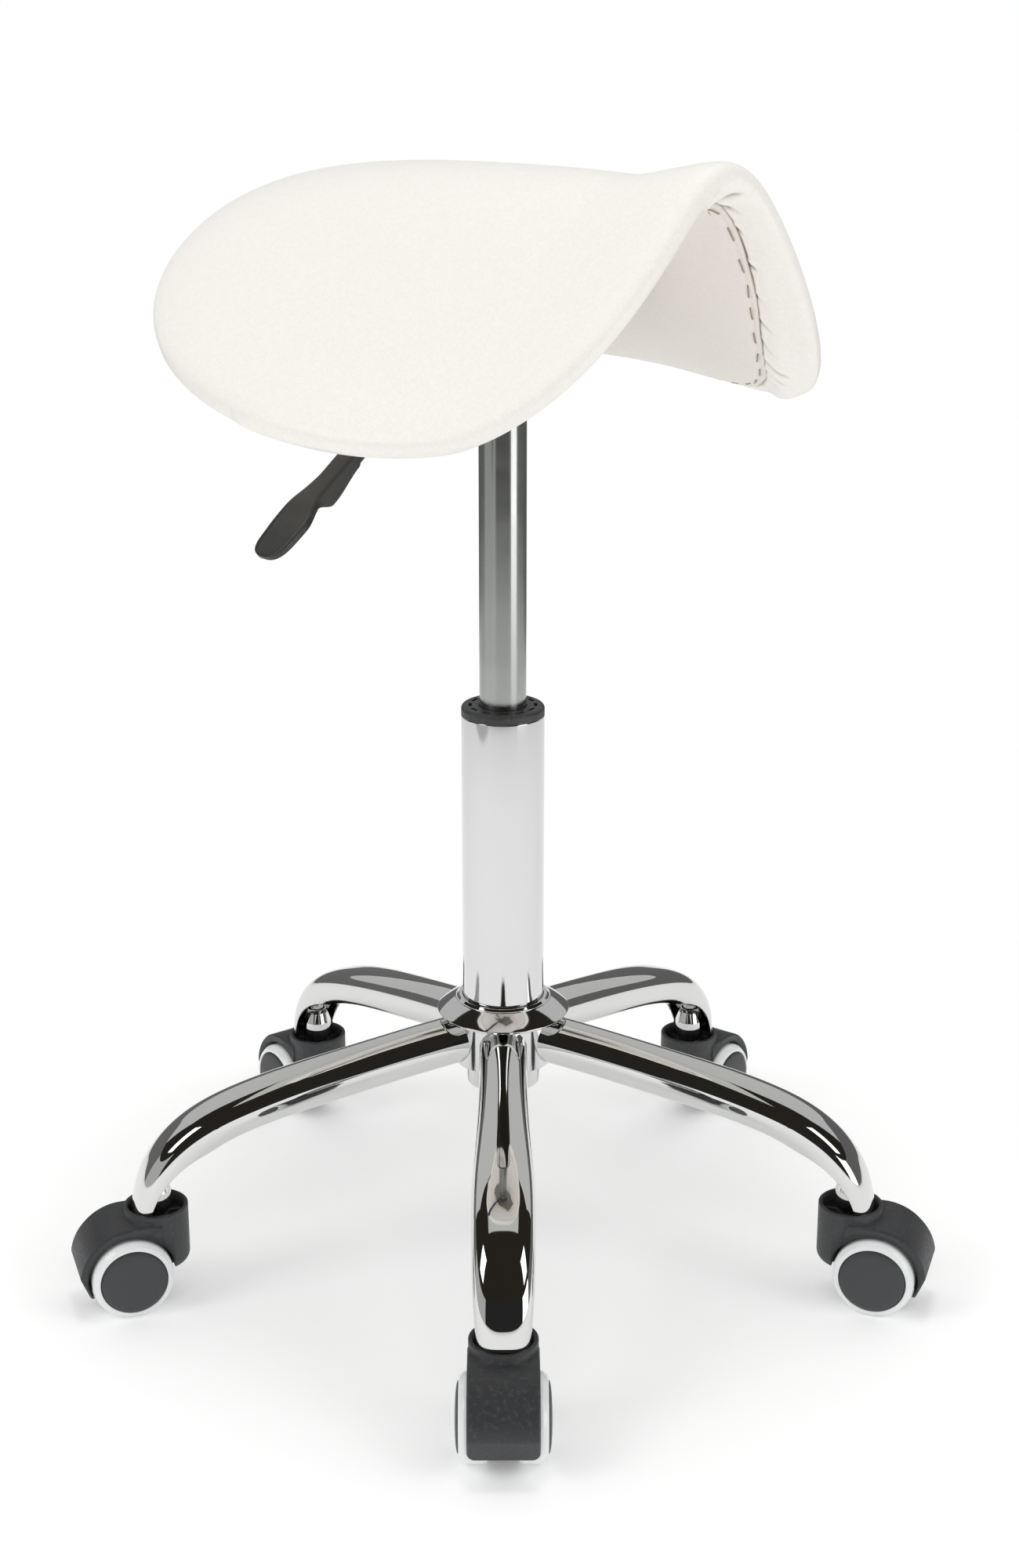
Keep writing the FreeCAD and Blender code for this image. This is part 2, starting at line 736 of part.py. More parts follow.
# ---------------------------------------------------------------- castors
def make_stems():
    head_low = D.groove_top
    flange_top = D.flange_bottom + D.flange_thick
    stems = turned("caster_stems", [
        (0, D.stem_bottom),
        (D.stem_radius, D.stem_bottom, 0.8),
        (D.stem_radius, D.flange_bottom),
        (D.flange_radius, D.flange_bottom),
        (D.flange_radius, flange_top, 0.6),
        (D.stem_radius, flange_top),
        (D.stem_radius, D.groove_bottom),
        (D.groove_radius, D.groove_bottom),
        (D.groove_radius, head_low),
        (D.stem_head, head_low),
        (D.stem_head, D.stem_top, 3.5),
        (0, D.stem_top),
    ], across=D.stem_circle, repeat=D.leg_count)
    rings = turned("grip_rings", [
        (D.groove_radius + D.press_gap, D.groove_bottom + D.run_gap),
        (D.ring_outer, D.groove_bottom + D.run_gap, 0.4),
        (D.ring_outer, D.groove_top - D.run_gap, 0.4),
        (D.groove_radius + D.press_gap, D.groove_top - D.run_gap),
    ], across=D.stem_circle, angle=D.ring_turn, repeat=D.leg_count)
    first_leg = -90.0
    return [place(stems, first_leg), place(rings, first_leg)]


def outer_rim(shape, half_width, low):
    """Names of the fender's long edges on its two side faces, above the given height."""
    names = []
    for number, edge in enumerate(shape.Edges, start=1):
        box = edge.BoundBox
        on_side = abs(abs(box.YMin) - half_width) < 1e-6 and box.YLength < 1e-6
        if on_side and box.XLength > 1.0 and box.ZMax > low + 1.0:
            names.append(f"Edge{number}")
    return names


def make_hood(name):
    """Castor body: cup under the leg, web between the wheels and the fender over them."""
    hood = new_body(name)
    side = new_sketch(hood, "XZ_Plane")
    outline(side, [
        (0, D.web_bottom),
        (0, D.fender_top),
        (D.fender_crown_out, D.fender_top, D.fender_radius),
        (D.fender_back_out, D.fender_back_up, D.fender_radius),
        (D.fender_end_out, D.fender_end_up, 5.0),
        (D.fender_tip_out, D.fender_tip_up, 1.2),
        (D.fender_tip_out - 6.0, D.web_bottom),
    ])
    fender = extrude(hood, "Pad", side, D.fender_width, both=True)
    rim = outer_rim(fender.Shape, float(D.fender_width) / 2, float(D.web_bottom))
    softened = hood.newObject("PartDesign::Fillet", name + "_fillet")
    softened.Base = (fender, rim)
    bind(softened, "Radius", D.fender_round)
    doc.recompute()
    cup = new_sketch(hood, "XZ_Plane")
    outline(cup, [
        (0, D.cup_bottom),
        (D.cup_radius, D.cup_bottom, D.cup_round),
        (D.cup_radius, D.cup_top, 0.7),
        (0, D.cup_top),
    ])
    spin(hood, "Revolution", cup)
    inside = new_sketch(hood, "XZ_Plane")
    bore = D.stem_radius + D.rod_fit
    inner = D.cup_radius - D.cup_wall
    outline(inside, [
        (0, D.stem_bottom - 0.5),
        (bore, D.stem_bottom - 0.5),
        (bore, D.boss_top),
        (D.boss_radius, D.boss_top, 0.5),
        (D.boss_radius, D.cup_floor),
        (inner, D.cup_floor, 0.8),
        (inner, D.cup_top + 1.0),
        (0, D.cup_top + 1.0),
    ])
    spin(hood, "Groove", inside)
    rib = new_sketch(hood, "XY_Plane", out=D.cup_floor - 0.5)
    rectangle(rib, D.boss_radius - 1.0, inner + 1.0, -D.rib_thick / 2, D.rib_thick / 2)
    around(hood, extrude(hood, "Pad", rib, D.rib_top - D.cup_floor + 0.5), D.rib_count)
    for out, back in ((D.web_thick / 2, False), (-D.web_thick / 2, True)):
        pocket = new_sketch(hood, "XZ_Plane", out=out)
        circle(pocket, D.trail, D.wheel_radius, D.wheel_radius + D.wheel_clear)
        extrude(hood, "Pocket", pocket, D.fender_width, back=not back)
    hole = new_sketch(hood, "XZ_Plane")
    circle(hole, D.trail, D.wheel_radius, D.axle_radius + D.axle_fit)
    extrude(hood, "Pocket", hole, D.fender_width, both=True)
    return hood


def make_axle(name):
    return turned(name, [
        (0, -D.axle_half),
        (D.axle_radius, -D.axle_half, 0.8),
        (D.axle_radius, D.axle_half, 0.8),
        (0, D.axle_half),
    ], plane="XY_Plane")


def make_core(name):
    """Wheel centre: domed disc, drum under the tread and the blind hub on the axle."""
    dome = (D.disc_radius * D.disc_radius + D.dome_rise * D.dome_rise) / (D.dome_rise * 2)
    bore = D.axle_radius + D.bore_fit
    disc_low = D.wheel_face - D.disc_thick
    drum_in = D.drum_radius - D.drum_wall
    return turned(name, [
        (0, D.axle_half + 0.6),
        (bore, D.axle_half + 0.6),
        (bore, D.wheel_inner),
        (D.wheel_hub, D.wheel_inner),
        (D.wheel_hub, disc_low, 1.0),
        (drum_in, disc_low, 1.0),
        (drum_in, D.tread_inner),
        (D.drum_radius, D.tread_inner),
        (D.drum_radius, D.wheel_face - 0.9),
        (D.disc_radius, D.wheel_face),
        Bend(dome),
        (0, D.wheel_face + D.dome_rise),
    ], plane="XY_Plane")


def make_tread(name):
    inner = D.drum_radius + D.press_gap
    return turned(name, [
        (inner, D.tread_inner),
        (D.wheel_radius, D.tread_inner, D.tread_round),
        (D.wheel_radius, D.tread_outer, D.tread_round),
        (inner, D.tread_outer),
    ], plane="XY_Plane")


def make_caster(number, angle):
    """One twin-wheel castor, trailing outwards from its stem."""
    stem = {"turn": angle, "across": D.stem_circle}
    axle = {"turn": angle, "across": D.stem_circle + D.trail, "up": D.wheel_radius}
    pieces = [place(make_hood(f"caster_{number}_hood"), **stem),
              place(make_axle(f"caster_{number}_axle"), **axle)]
    for side, tilt in (("left", Rotation()), ("right", Rotation(Vector(1, 0, 0), 180))):
        pieces.append(place(make_core(f"caster_{number}_core_{side}"), tilt=tilt, **axle))
        pieces.append(place(make_tread(f"caster_{number}_tread_{side}"), tilt=tilt, **axle))
    return pieces


# ---------------------------------------------------------------- seat mechanism
def bolt_spots():
    across, along = D.bolt_across / 2, D.bolt_along / 2
    return [(across, along), (-across, along), (-across, -along), (across, -along)]


def make_plate():
    plate = new_body("seat_plate")
    sheet_metal = new_sketch(plate, "XY_Plane", out=D.plate_bottom)
    rectangle(sheet_metal, -D.plate_wide / 2, D.plate_wide / 2,
              -D.plate_long / 2, D.plate_long / 2, D.plate_round)
    extrude(plate, "Pad", sheet_metal, D.plate_thick)
    middle = (D.ear_gap + D.ear_thick) / 2
    for out in (middle - D.ear_thick / 2, -middle - D.ear_thick / 2):
        ear = new_sketch(plate, "XZ_Plane", out=out)
        rectangle(ear, D.ear_start, D.ear_end, D.ear_bottom, D.plate_bottom + 1.0)
        extrude(plate, "Pad", ear, D.ear_thick)
    clearance = new_sketch(plate, "XY_Plane", out=D.ear_bottom)
    circle(clearance, 0, 0, D.socket_radius + D.press_gap)
    extrude(plate, "Pocket", clearance, D.plate_bottom - D.ear_bottom, back=True)
    pin_hole = new_sketch(plate, "XZ_Plane")
    circle(pin_hole, D.pivot_out, D.pivot_up, D.pivot_radius + D.press_gap)
    extrude(plate, "Pocket", pin_hole, D.plate_wide, both=True)
    holes = new_sketch(plate, "XY_Plane", out=D.plate_bottom)
    for across, along in bolt_spots():
        circle(holes, across, along, D.bolt_hole)
    extrude(plate, "Pocket", holes, D.plate_thick, back=True)
    return plate


def make_socket():
    """Conical seat for the lift cylinder, welded under the plate and slotted for the lever."""
    socket = turned("cone_socket", [
        (lift_radius_at(D.socket_bottom) + D.socket_fit, D.socket_bottom),
        (D.socket_radius, D.socket_bottom, 2.0),
        (D.socket_radius, D.plate_bottom),
        (D.socket_room, D.plate_bottom),
        (D.socket_room, D.lift_top),
        (lift_radius_at(D.lift_top) + D.socket_fit, D.lift_top),
    ])
    slot = new_sketch(socket, "XY_Plane", out=D.arm_slot_bottom)
    rectangle(slot, 0, D.socket_radius + 1.0, -D.arm_slot / 2, D.arm_slot / 2)
    extrude(socket, "Pocket", slot, D.plate_bottom - D.arm_slot_bottom, back=True)
    return socket


def make_bolts():
    """Four flanged hexagon bolts, and the threaded inserts that they screw into."""
    bolts = new_body("seat_bolts", groups=True)
    half_flat = math.sin(math.radians(60))
    flange_low = D.plate_bottom - D.bolt_flange_thick
    flanges = new_sketch(bolts, "XY_Plane", out=flange_low)
    shanks = new_sketch(bolts, "XY_Plane", out=D.plate_bottom)
    heads = new_sketch(bolts, "XY_Plane", out=flange_low - D.bolt_head_thick)
    corner, half = D.bolt_head, D.bolt_head / 2
    tall = D.bolt_head * half_flat
    for across, along in bolt_spots():
        circle(flanges, across, along, D.bolt_flange)
        circle(shanks, across, along, D.bolt_radius)
        outline(heads, [
            (across + corner, along), (across + half, along + tall), (across - half, along + tall),
            (across - corner, along), (across - half, along - tall), (across + half, along - tall),
        ])
    extrude(bolts, "Pad", flanges, D.bolt_flange_thick)
    extrude(bolts, "Pad", shanks, D.plate_thick + D.insert_length)
    extrude(bolts, "Pad", heads, D.bolt_head_thick)
    inserts = new_body("insert_nuts", groups=True)
    rings = new_sketch(inserts, "XY_Plane", out=D.plate_bottom + D.plate_thick)
    for across, along in bolt_spots():
        circle(rings, across, along, D.insert_radius)
        circle(rings, across, along, D.bolt_radius + D.press_gap)
    extrude(inserts, "Pad", rings, D.insert_length)
    return [bolts, inserts]


def make_lever():
    """Lever arm on its pin, its nose over the release pin, and the moulded grip."""
    reach = D.ear_gap / 2 + D.ear_thick + D.run_gap
    pin = turned("lever_pin", [
        (0, -reach - D.pivot_head_thick),
        (D.pivot_head, -reach - D.pivot_head_thick, 0.5),
        (D.pivot_head, -reach),
        (D.pivot_radius, -reach),
        (D.pivot_radius, reach),
        (D.pivot_head, reach),
        (D.pivot_head, reach + D.pivot_head_thick, 0.5),
        (0, reach + D.pivot_head_thick),
    ], plane="XY_Plane")
    place(pin, D.seat_turn, D.pivot_out, 0, D.pivot_up)
    arm = new_body("lever_arm")
    boss = new_sketch(arm, "XZ_Plane", across=D.pivot_out, along=D.pivot_up)
    circle(boss, 0, 0, D.arm_boss)
    extrude(arm, "Pad", boss, D.arm_wide, both=True)
    nose_low = D.lift_top + D.pin_stand + D.run_gap
    nose = new_sketch(arm, "XZ_Plane")
    rectangle(nose, D.pivot_out - D.nose_reach, D.pivot_out, nose_low, nose_low + D.nose_thick)
    extrude(arm, "Pad", nose, D.arm_wide, both=True)
    strap = new_sketch(arm, "XZ_Plane", across=D.pivot_out, along=D.pivot_up, turn=-D.lever_drop)
    rectangle(strap, 0, D.arm_length, -D.arm_thick / 2, D.arm_thick / 2)
    extrude(arm, "Pad", strap, D.arm_wide, both=True)
    eye = new_sketch(arm, "XZ_Plane", across=D.pivot_out, along=D.pivot_up)
    circle(eye, 0, 0, D.pivot_radius + D.pivot_fit)
    extrude(arm, "Pocket", eye, D.arm_wide * 2, both=True)
    place(arm, D.seat_turn)
    grip = new_body("lever_grip")
    paddle = new_sketch(grip, "XY_Plane")
    outline(paddle, [
        (D.grip_start, -D.neck_half, 3.0),
        (D.paddle_start, -D.neck_half, 40.0),
        (D.grip_end - D.paddle_round, -D.paddle_half, 8.0),
        (D.grip_end, -D.paddle_half / 2, 6.0),
        (D.grip_end, D.paddle_half / 2, 6.0),
        (D.grip_end - D.paddle_round, D.paddle_half, 8.0),
        (D.paddle_start, D.neck_half, 40.0),
        (D.grip_start, D.neck_half, 3.0),
    ])
    extrude(grip, "Pad", paddle, D.grip_thick, both=True)
    room = new_sketch(grip, "YZ_Plane", out=D.grip_start)
    gap = D.press_gap
    rectangle(room, -D.arm_wide / 2 - gap, D.arm_wide / 2 + gap,
              -D.arm_thick / 2 - gap, D.arm_thick / 2 + gap)
    extrude(grip, "Pocket", room, D.arm_length - D.grip_start + 0.5, back=True)
    place(grip, D.seat_turn, D.pivot_out, 0, D.pivot_up, Rotation(Y_AXIS, float(D.lever_drop)))
    return [pin, arm, grip]


# ---------------------------------------------------------------- saddle seat
class Saddle:
    """Form of the seat.

    A curved middle surface carries a pad whose outline and thickness are superellipses.  u runs
    forwards, s sideways along the surface.  Points come out in the seat's frame, X to the
    sitter's right and Y to the front.
    """

    STATIONS = 15
    POINTS = 9
    END_ANGLE = 4.0               # the end sections stand this many degrees off the tips
    END_CROWDING = 0.5            # sections stand closer near the tips

    def __init__(self):
        self.half_long = float(D.seat_long) / 2
        self.half_wide = float(D.seat_half)

    def share(self, u):
        """0 at the rear edge, 1 at the front edge."""
        return min(max(u / (2 * self.half_long) + 0.5, -0.15), 1.15)

    def slope(self, u, s):
        """Side slope of the middle surface, radians."""
        share = self.share(u)
        bend = float(D.rear_bend) ** (1 - share) * float(D.front_bend) ** share
        steep = math.radians(float(D.rear_slope) * (1 - share) + float(D.front_slope) * share)
        flare = math.radians(float(D.flare)) * (s / self.half_wide) ** 3
        return steep * math.tanh(bend * s / steep) - flare

    def middle(self, u, s):
        """Point of the middle surface as (u, sideways, height) and its side slope."""
        steps = 24
        step = s / steps
        side = sum(math.cos(self.slope(u, (i + 0.5) * step)) for i in range(steps)) * step
        drop = sum(math.sin(self.slope(u, (i + 0.5) * step)) for i in range(steps)) * step
        ahead = u - float(D.ridge_low)
        if ahead > 0:
            span = self.half_long - float(D.ridge_low)
            rise = float(D.pommel_rise) * (ahead / span) ** float(D.pommel_power)
        else:
            span = self.half_long + float(D.ridge_low)
            rise = float(D.rear_rise) * (-ahead / span) ** float(D.rear_power)
        return u, side, float(D.seat_height) + rise - drop, self.slope(u, s)

    def edge(self, angle, inset):
        """Outline at an angle from straight ahead: forward reach and half width."""
        c = math.cos(angle)
        forward = abs(c) ** float(D.front_power) if c > 0 else c
        lean, waist = float(D.outline_lean), float(D.outline_waist)
        spread = abs(math.sin(angle)) ** float(D.side_power) * (1 - lean * c - waist * c * c)
        spread /= 1 + 0.3 * abs(lean)
        return (self.half_long - inset) * forward, (self.half_wide - inset) * spread

    def radius_share(self, u, s, inset=0.0):
        """How far (u, s) lies towards the outline: 0 at the centre, 1 on the edge."""
        low, high = 1e-6, math.pi - 1e-6
        for _ in range(40):
            angle = (low + high) / 2
            forward, half = self.edge(angle, inset)
            if abs(s) * forward - u * half > 0:
                low = angle
            else:
                high = angle
        forward, half = self.edge(angle, inset)
        return min(math.hypot(u, s) / math.hypot(forward, half), 1.0)

    def point(self, u, s, level, lift, inset=0.0):
        """Point at a level (+1 top skin, -1 bottom skin), then lifted along the normal."""
        sweep = float(D.wing_sweep) * (s / self.half_wide) ** 2
        ratio = self.radius_share(u + sweep, s, inset)
        swell = (1 - ratio ** float(D.pad_power)) ** (1 / float(D.pad_power))
        thick = float(D.pad_thick) * (1 + (float(D.pad_front) - 1) * self.share(u))
        below = thick * float(D.pad_below) - inset
        above = thick * (1 - float(D.pad_below)) - inset
        height = swell * (above if level > 0 else -below) + lift
        forward, side, up, slope = self.middle(u, s)
        side += math.sin(slope) * height
        up += math.cos(slope) * height
        pitch = math.radians(float(D.nose_up))
        up -= float(D.pitch_height)
        ahead = forward * math.cos(pitch) - up * math.sin(pitch)
        up = forward * math.sin(pitch) + up * math.cos(pitch) + float(D.pitch_height)
        return Vector(-side, ahead + float(D.seat_shift), up)

    def stations(self, inset):
        """Flat cross sections from front to rear: forward reach and half width."""
        first = math.radians(self.END_ANGLE)
        places = []
        for number in range(self.STATIONS):
            part = number / (self.STATIONS - 1)
            part -= self.END_CROWDING * math.sin(2 * math.pi * part) / (2 * math.pi)
            forward, half = self.edge(first + (math.pi - 2 * first) * part, inset)
            places.append((forward - float(D.wing_sweep) * (half / self.half_wide) ** 2, half))
        return places

    def cushion(self, inset):
        """Closed pad, drawn in evenly by the inset."""
        power = float(D.pad_power)
        sections = []
        for u, half in self.stations(inset):
            points = []
            for number in range(4 * self.POINTS):
                angle = 2 * math.pi * number / (4 * self.POINTS)
                c, s = math.cos(angle), math.sin(angle)
                reach = (abs(c) ** power + abs(s) ** power) ** (-1 / power)
                points.append(self.point(u, half * c * reach, 1 if s >= 0 else -1, 0.0, inset))
            curve = Part.BSplineCurve()
            curve.interpolate(Points=points, PeriodicFlag=True)
            sections.append(Part.Wire([curve.toShape()]))
        return Part.makeLoft(sections, True, False)

    def slab(self, low, high, inset):
        """Board that follows the underside, between two heights over the bottom skin."""
        sections = []
        for u, half in self.stations(inset):
            places = [half * math.cos(math.pi * n / (2 * self.POINTS)) for n in range(2 * self.POINTS + 1)]
            lower = [self.point(u, s, -1, low) for s in places]
            upper = [self.point(u, s, -1, high) for s in reversed(places)]
            edges = []
            for row, following in ((lower, upper), (upper, lower)):
                curve = Part.BSplineCurve()
                curve.interpolate(Points=row)
                edges += [curve.toShape(), Part.makeLine(row[-1], following[0])]
            sections.append(Part.Wire(edges))
        return Part.makeLoft(sections, True, False)


def feature(name, shape):
    """Free-form piece in the seat's frame."""
    piece = doc.addObject("Part::Feature", name)
    piece.Label = name
    piece.Shape = shape
    return place(piece, D.seat_turn)


def make_seat():
    """Cover, foam, moulded shell, underside panel, and the block between shell and plate."""
    saddle = Saddle()
    skin, gap = float(D.cover_thick), float(D.skin_gap)
    seam, panel = float(D.seam_inset), float(D.panel_thick)
    shell_low = panel + gap
    shell_high = shell_low + float(D.shell_thick)
    opening = saddle.slab(-3 * panel, 2 * skin, seam)
    cover = saddle.cushion(0.0).cut(saddle.cushion(skin)).cut(opening)
    room = saddle.slab(-3 * panel, shell_high + gap, float(D.shell_inset) - gap)
    foam = saddle.cushion(skin + gap).cut(room)
    board = saddle.slab(shell_low, shell_high, float(D.shell_inset))
    lining = saddle.slab(0.0, panel, seam + gap)
    plate_top = float(D.plate_bottom + D.plate_thick)
    wide, long, top = float(D.plate_wide), float(D.plate_long), float(D.block_top)
    block = Part.makeBox(wide, long, top - plate_top, Vector(-wide / 2, -long / 2, plate_top))
    block = block.cut(saddle.slab(-gap, float(D.pad_thick), 0.0))
    for across, along in bolt_spots():
        hole = Part.makeCylinder(float(D.insert_radius + D.press_gap), float(D.insert_length) + 1.0,
                                 Vector(float(across), float(along), plate_top))
        block = block.cut(hole)
    block = max(block.Solids, key=lambda solid: -solid.BoundBox.ZMin)
    return [feature("seat_cover", cover), feature("seat_foam", foam), feature("seat_shell", board),
            feature("underside_panel", lining), feature("mount_block", block)]


# ---------------------------------------------------------------- assembly
def make_all():
    pieces = make_column() + make_rod() + make_lift() + [make_hub()] + make_stems()
    step = 360.0 / float(D.leg_count)
    for number in range(int(float(D.leg_count))):
        angle = -90.0 + number * step
        pieces.append(make_leg(f"leg_{number + 1}", angle))
        pieces += make_caster(number + 1, angle)
    mechanism = [make_plate(), make_socket()] + make_bolts()
    pieces += [place(piece, D.seat_turn) for piece in mechanism]
    return pieces + make_lever() + make_seat()


def check(pieces):
    """Stop with a plain message where a feature failed or a shape isn't sound."""
    for item in doc.Objects:
        if "Invalid" in item.State or "Error" in item.State:
            raise RuntimeError(f"{item.Name} failed: {item.State}")
    for piece in pieces:
        if piece.Shape.isNull() or not piece.Shape.isValid() or not piece.Shape.Solids:
            raise RuntimeError(f"{piece.Label} has no valid shape")


pieces = make_all()
doc.recompute()
check(pieces)
os.makedirs("parts", exist_ok=True)
for piece in pieces:
    piece.Shape.exportStep(f"parts/{piece.Label}.step")
print(len(pieces), "sub-parts written")
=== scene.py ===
"""Looks of the dentist's saddle stool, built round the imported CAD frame.

Lengths are metres unless a name ends in _mm.  The frame's origin is on the floor under the column, +Z is up.
Each sub-assembly is a class that works out its surfaces as whole numpy arrays and dresses them in a finish.
"""

import json
import logging
import math
from dataclasses import dataclass, field
from enum import Enum
from typing import Any, Callable, Sequence

import bmesh
import bpy
import numpy as np
from mathutils import Matrix, Vector

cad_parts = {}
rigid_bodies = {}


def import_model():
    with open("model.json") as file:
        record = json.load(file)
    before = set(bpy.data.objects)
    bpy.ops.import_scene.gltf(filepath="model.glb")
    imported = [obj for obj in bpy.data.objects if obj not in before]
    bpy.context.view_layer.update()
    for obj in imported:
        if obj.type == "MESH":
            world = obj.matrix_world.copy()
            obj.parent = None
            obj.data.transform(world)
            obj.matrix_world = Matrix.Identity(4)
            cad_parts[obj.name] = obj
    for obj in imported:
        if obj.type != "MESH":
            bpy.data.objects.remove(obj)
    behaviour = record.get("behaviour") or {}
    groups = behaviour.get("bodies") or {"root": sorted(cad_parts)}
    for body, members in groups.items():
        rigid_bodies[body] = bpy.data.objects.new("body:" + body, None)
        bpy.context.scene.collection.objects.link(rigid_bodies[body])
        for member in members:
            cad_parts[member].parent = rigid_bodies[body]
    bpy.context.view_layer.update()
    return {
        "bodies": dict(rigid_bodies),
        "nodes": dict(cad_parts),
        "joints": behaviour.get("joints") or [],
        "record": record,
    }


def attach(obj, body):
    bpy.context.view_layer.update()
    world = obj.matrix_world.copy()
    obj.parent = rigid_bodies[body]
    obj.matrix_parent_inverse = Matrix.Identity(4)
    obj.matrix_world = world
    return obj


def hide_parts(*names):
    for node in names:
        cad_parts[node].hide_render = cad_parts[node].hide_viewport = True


LOG = logging.getLogger("stool")
MM = 0.001
TURN = 2 * math.pi
Array = np.ndarray
SPOKES = 5                       # legs, each with its castor
SEAT_TURN = -137.6945            # degrees by which the seat and its lever are turned about the column


# ------------------------------------------------------------------ small tools
def linear(code: str) -> tuple[float, float, float, float]:
    """Turn an sRGB hex colour into linear RGBA.

    Args:
        code: six hex digits, such as "f4f2ec".

    Returns:
        Linear red, green, blue and an alpha of 1.
    """
    srgb = [int(code[i:i + 2], 16) / 255 for i in (0, 2, 4)]
    rgb = [c / 12.92 if c <= 0.04045 else ((c + 0.055) / 1.055) ** 2.4 for c in srgb]
    return rgb[0], rgb[1], rgb[2], 1.0


def smooth_step(low: float, high: float, value: Array) -> Array:
    """Rise smoothly from 0 at low to 1 at high: 3t^2 - 2t^3.

    Args:
        low: where the rise starts.
        high: where it ends.
        value: places along the rise.

    Returns:
        Shares, 0 to 1.
    """
    t = np.clip((value - low) / (high - low), 0.0, 1.0)
    return t * t * (3 - 2 * t)


def signed_power(value: Array, power: Array | float) -> Array:
    """Power of the magnitude with the value's own sign: rounds or squares a circle's sine and cosine."""
    return np.sign(value) * np.abs(value) ** power


def spoke_angle(number: int) -> float:
    """Direction of a leg in degrees: leg 0 points along -Y and the rest follow evenly."""
    return -90.0 + number * 360.0 / SPOKES


def add_node(tree: bpy.types.NodeTree, kind: str, settings: dict[str, Any] | None = None,
             inputs: dict[str | int, Any] | None = None) -> bpy.types.Node:
    """Add a node with its settings and links.

    Args:
        tree: the node tree.
        kind: the node's type, such as "ShaderNodeTexNoise".
        settings: attributes of the node.
        inputs: values for its inputs by name or number; an output socket is linked.

    Returns:
        The new node.
    """
    node = tree.nodes.new(kind)
    for key, value in (settings or {}).items():
        setattr(node, key, value)
    for key, value in (inputs or {}).items():
        if isinstance(value, bpy.types.NodeSocket):
            tree.links.new(value, node.inputs[key])
        else:
            node.inputs[key].default_value = value
    return node


def bare_material(name: str) -> tuple[bpy.types.Material, bpy.types.NodeTree]:
    """New material without nodes.

    Args:
        name: its name.

    Returns:
        The material and its empty node tree.
    """
    made = bpy.data.materials.new(name)
    made.use_nodes = True
    made.node_tree.nodes.clear()
    return made, made.node_tree


# ------------------------------------------------------------------ finishes
class Pattern(Enum):
    """Kinds of fine surface relief."""

    PEBBLE = "pebble"        # leather grain: rounded cells between creases
    ORANGE_PEEL = "peel"     # plated or painted metal: slow shallow waves
    MOULD = "mould"          # fine spark texture of a moulding tool
    DRAWN = "drawn"          # long hairlines along the piece's Z axis
    GROWTH = "growth"        # wood: long fibres along one axis


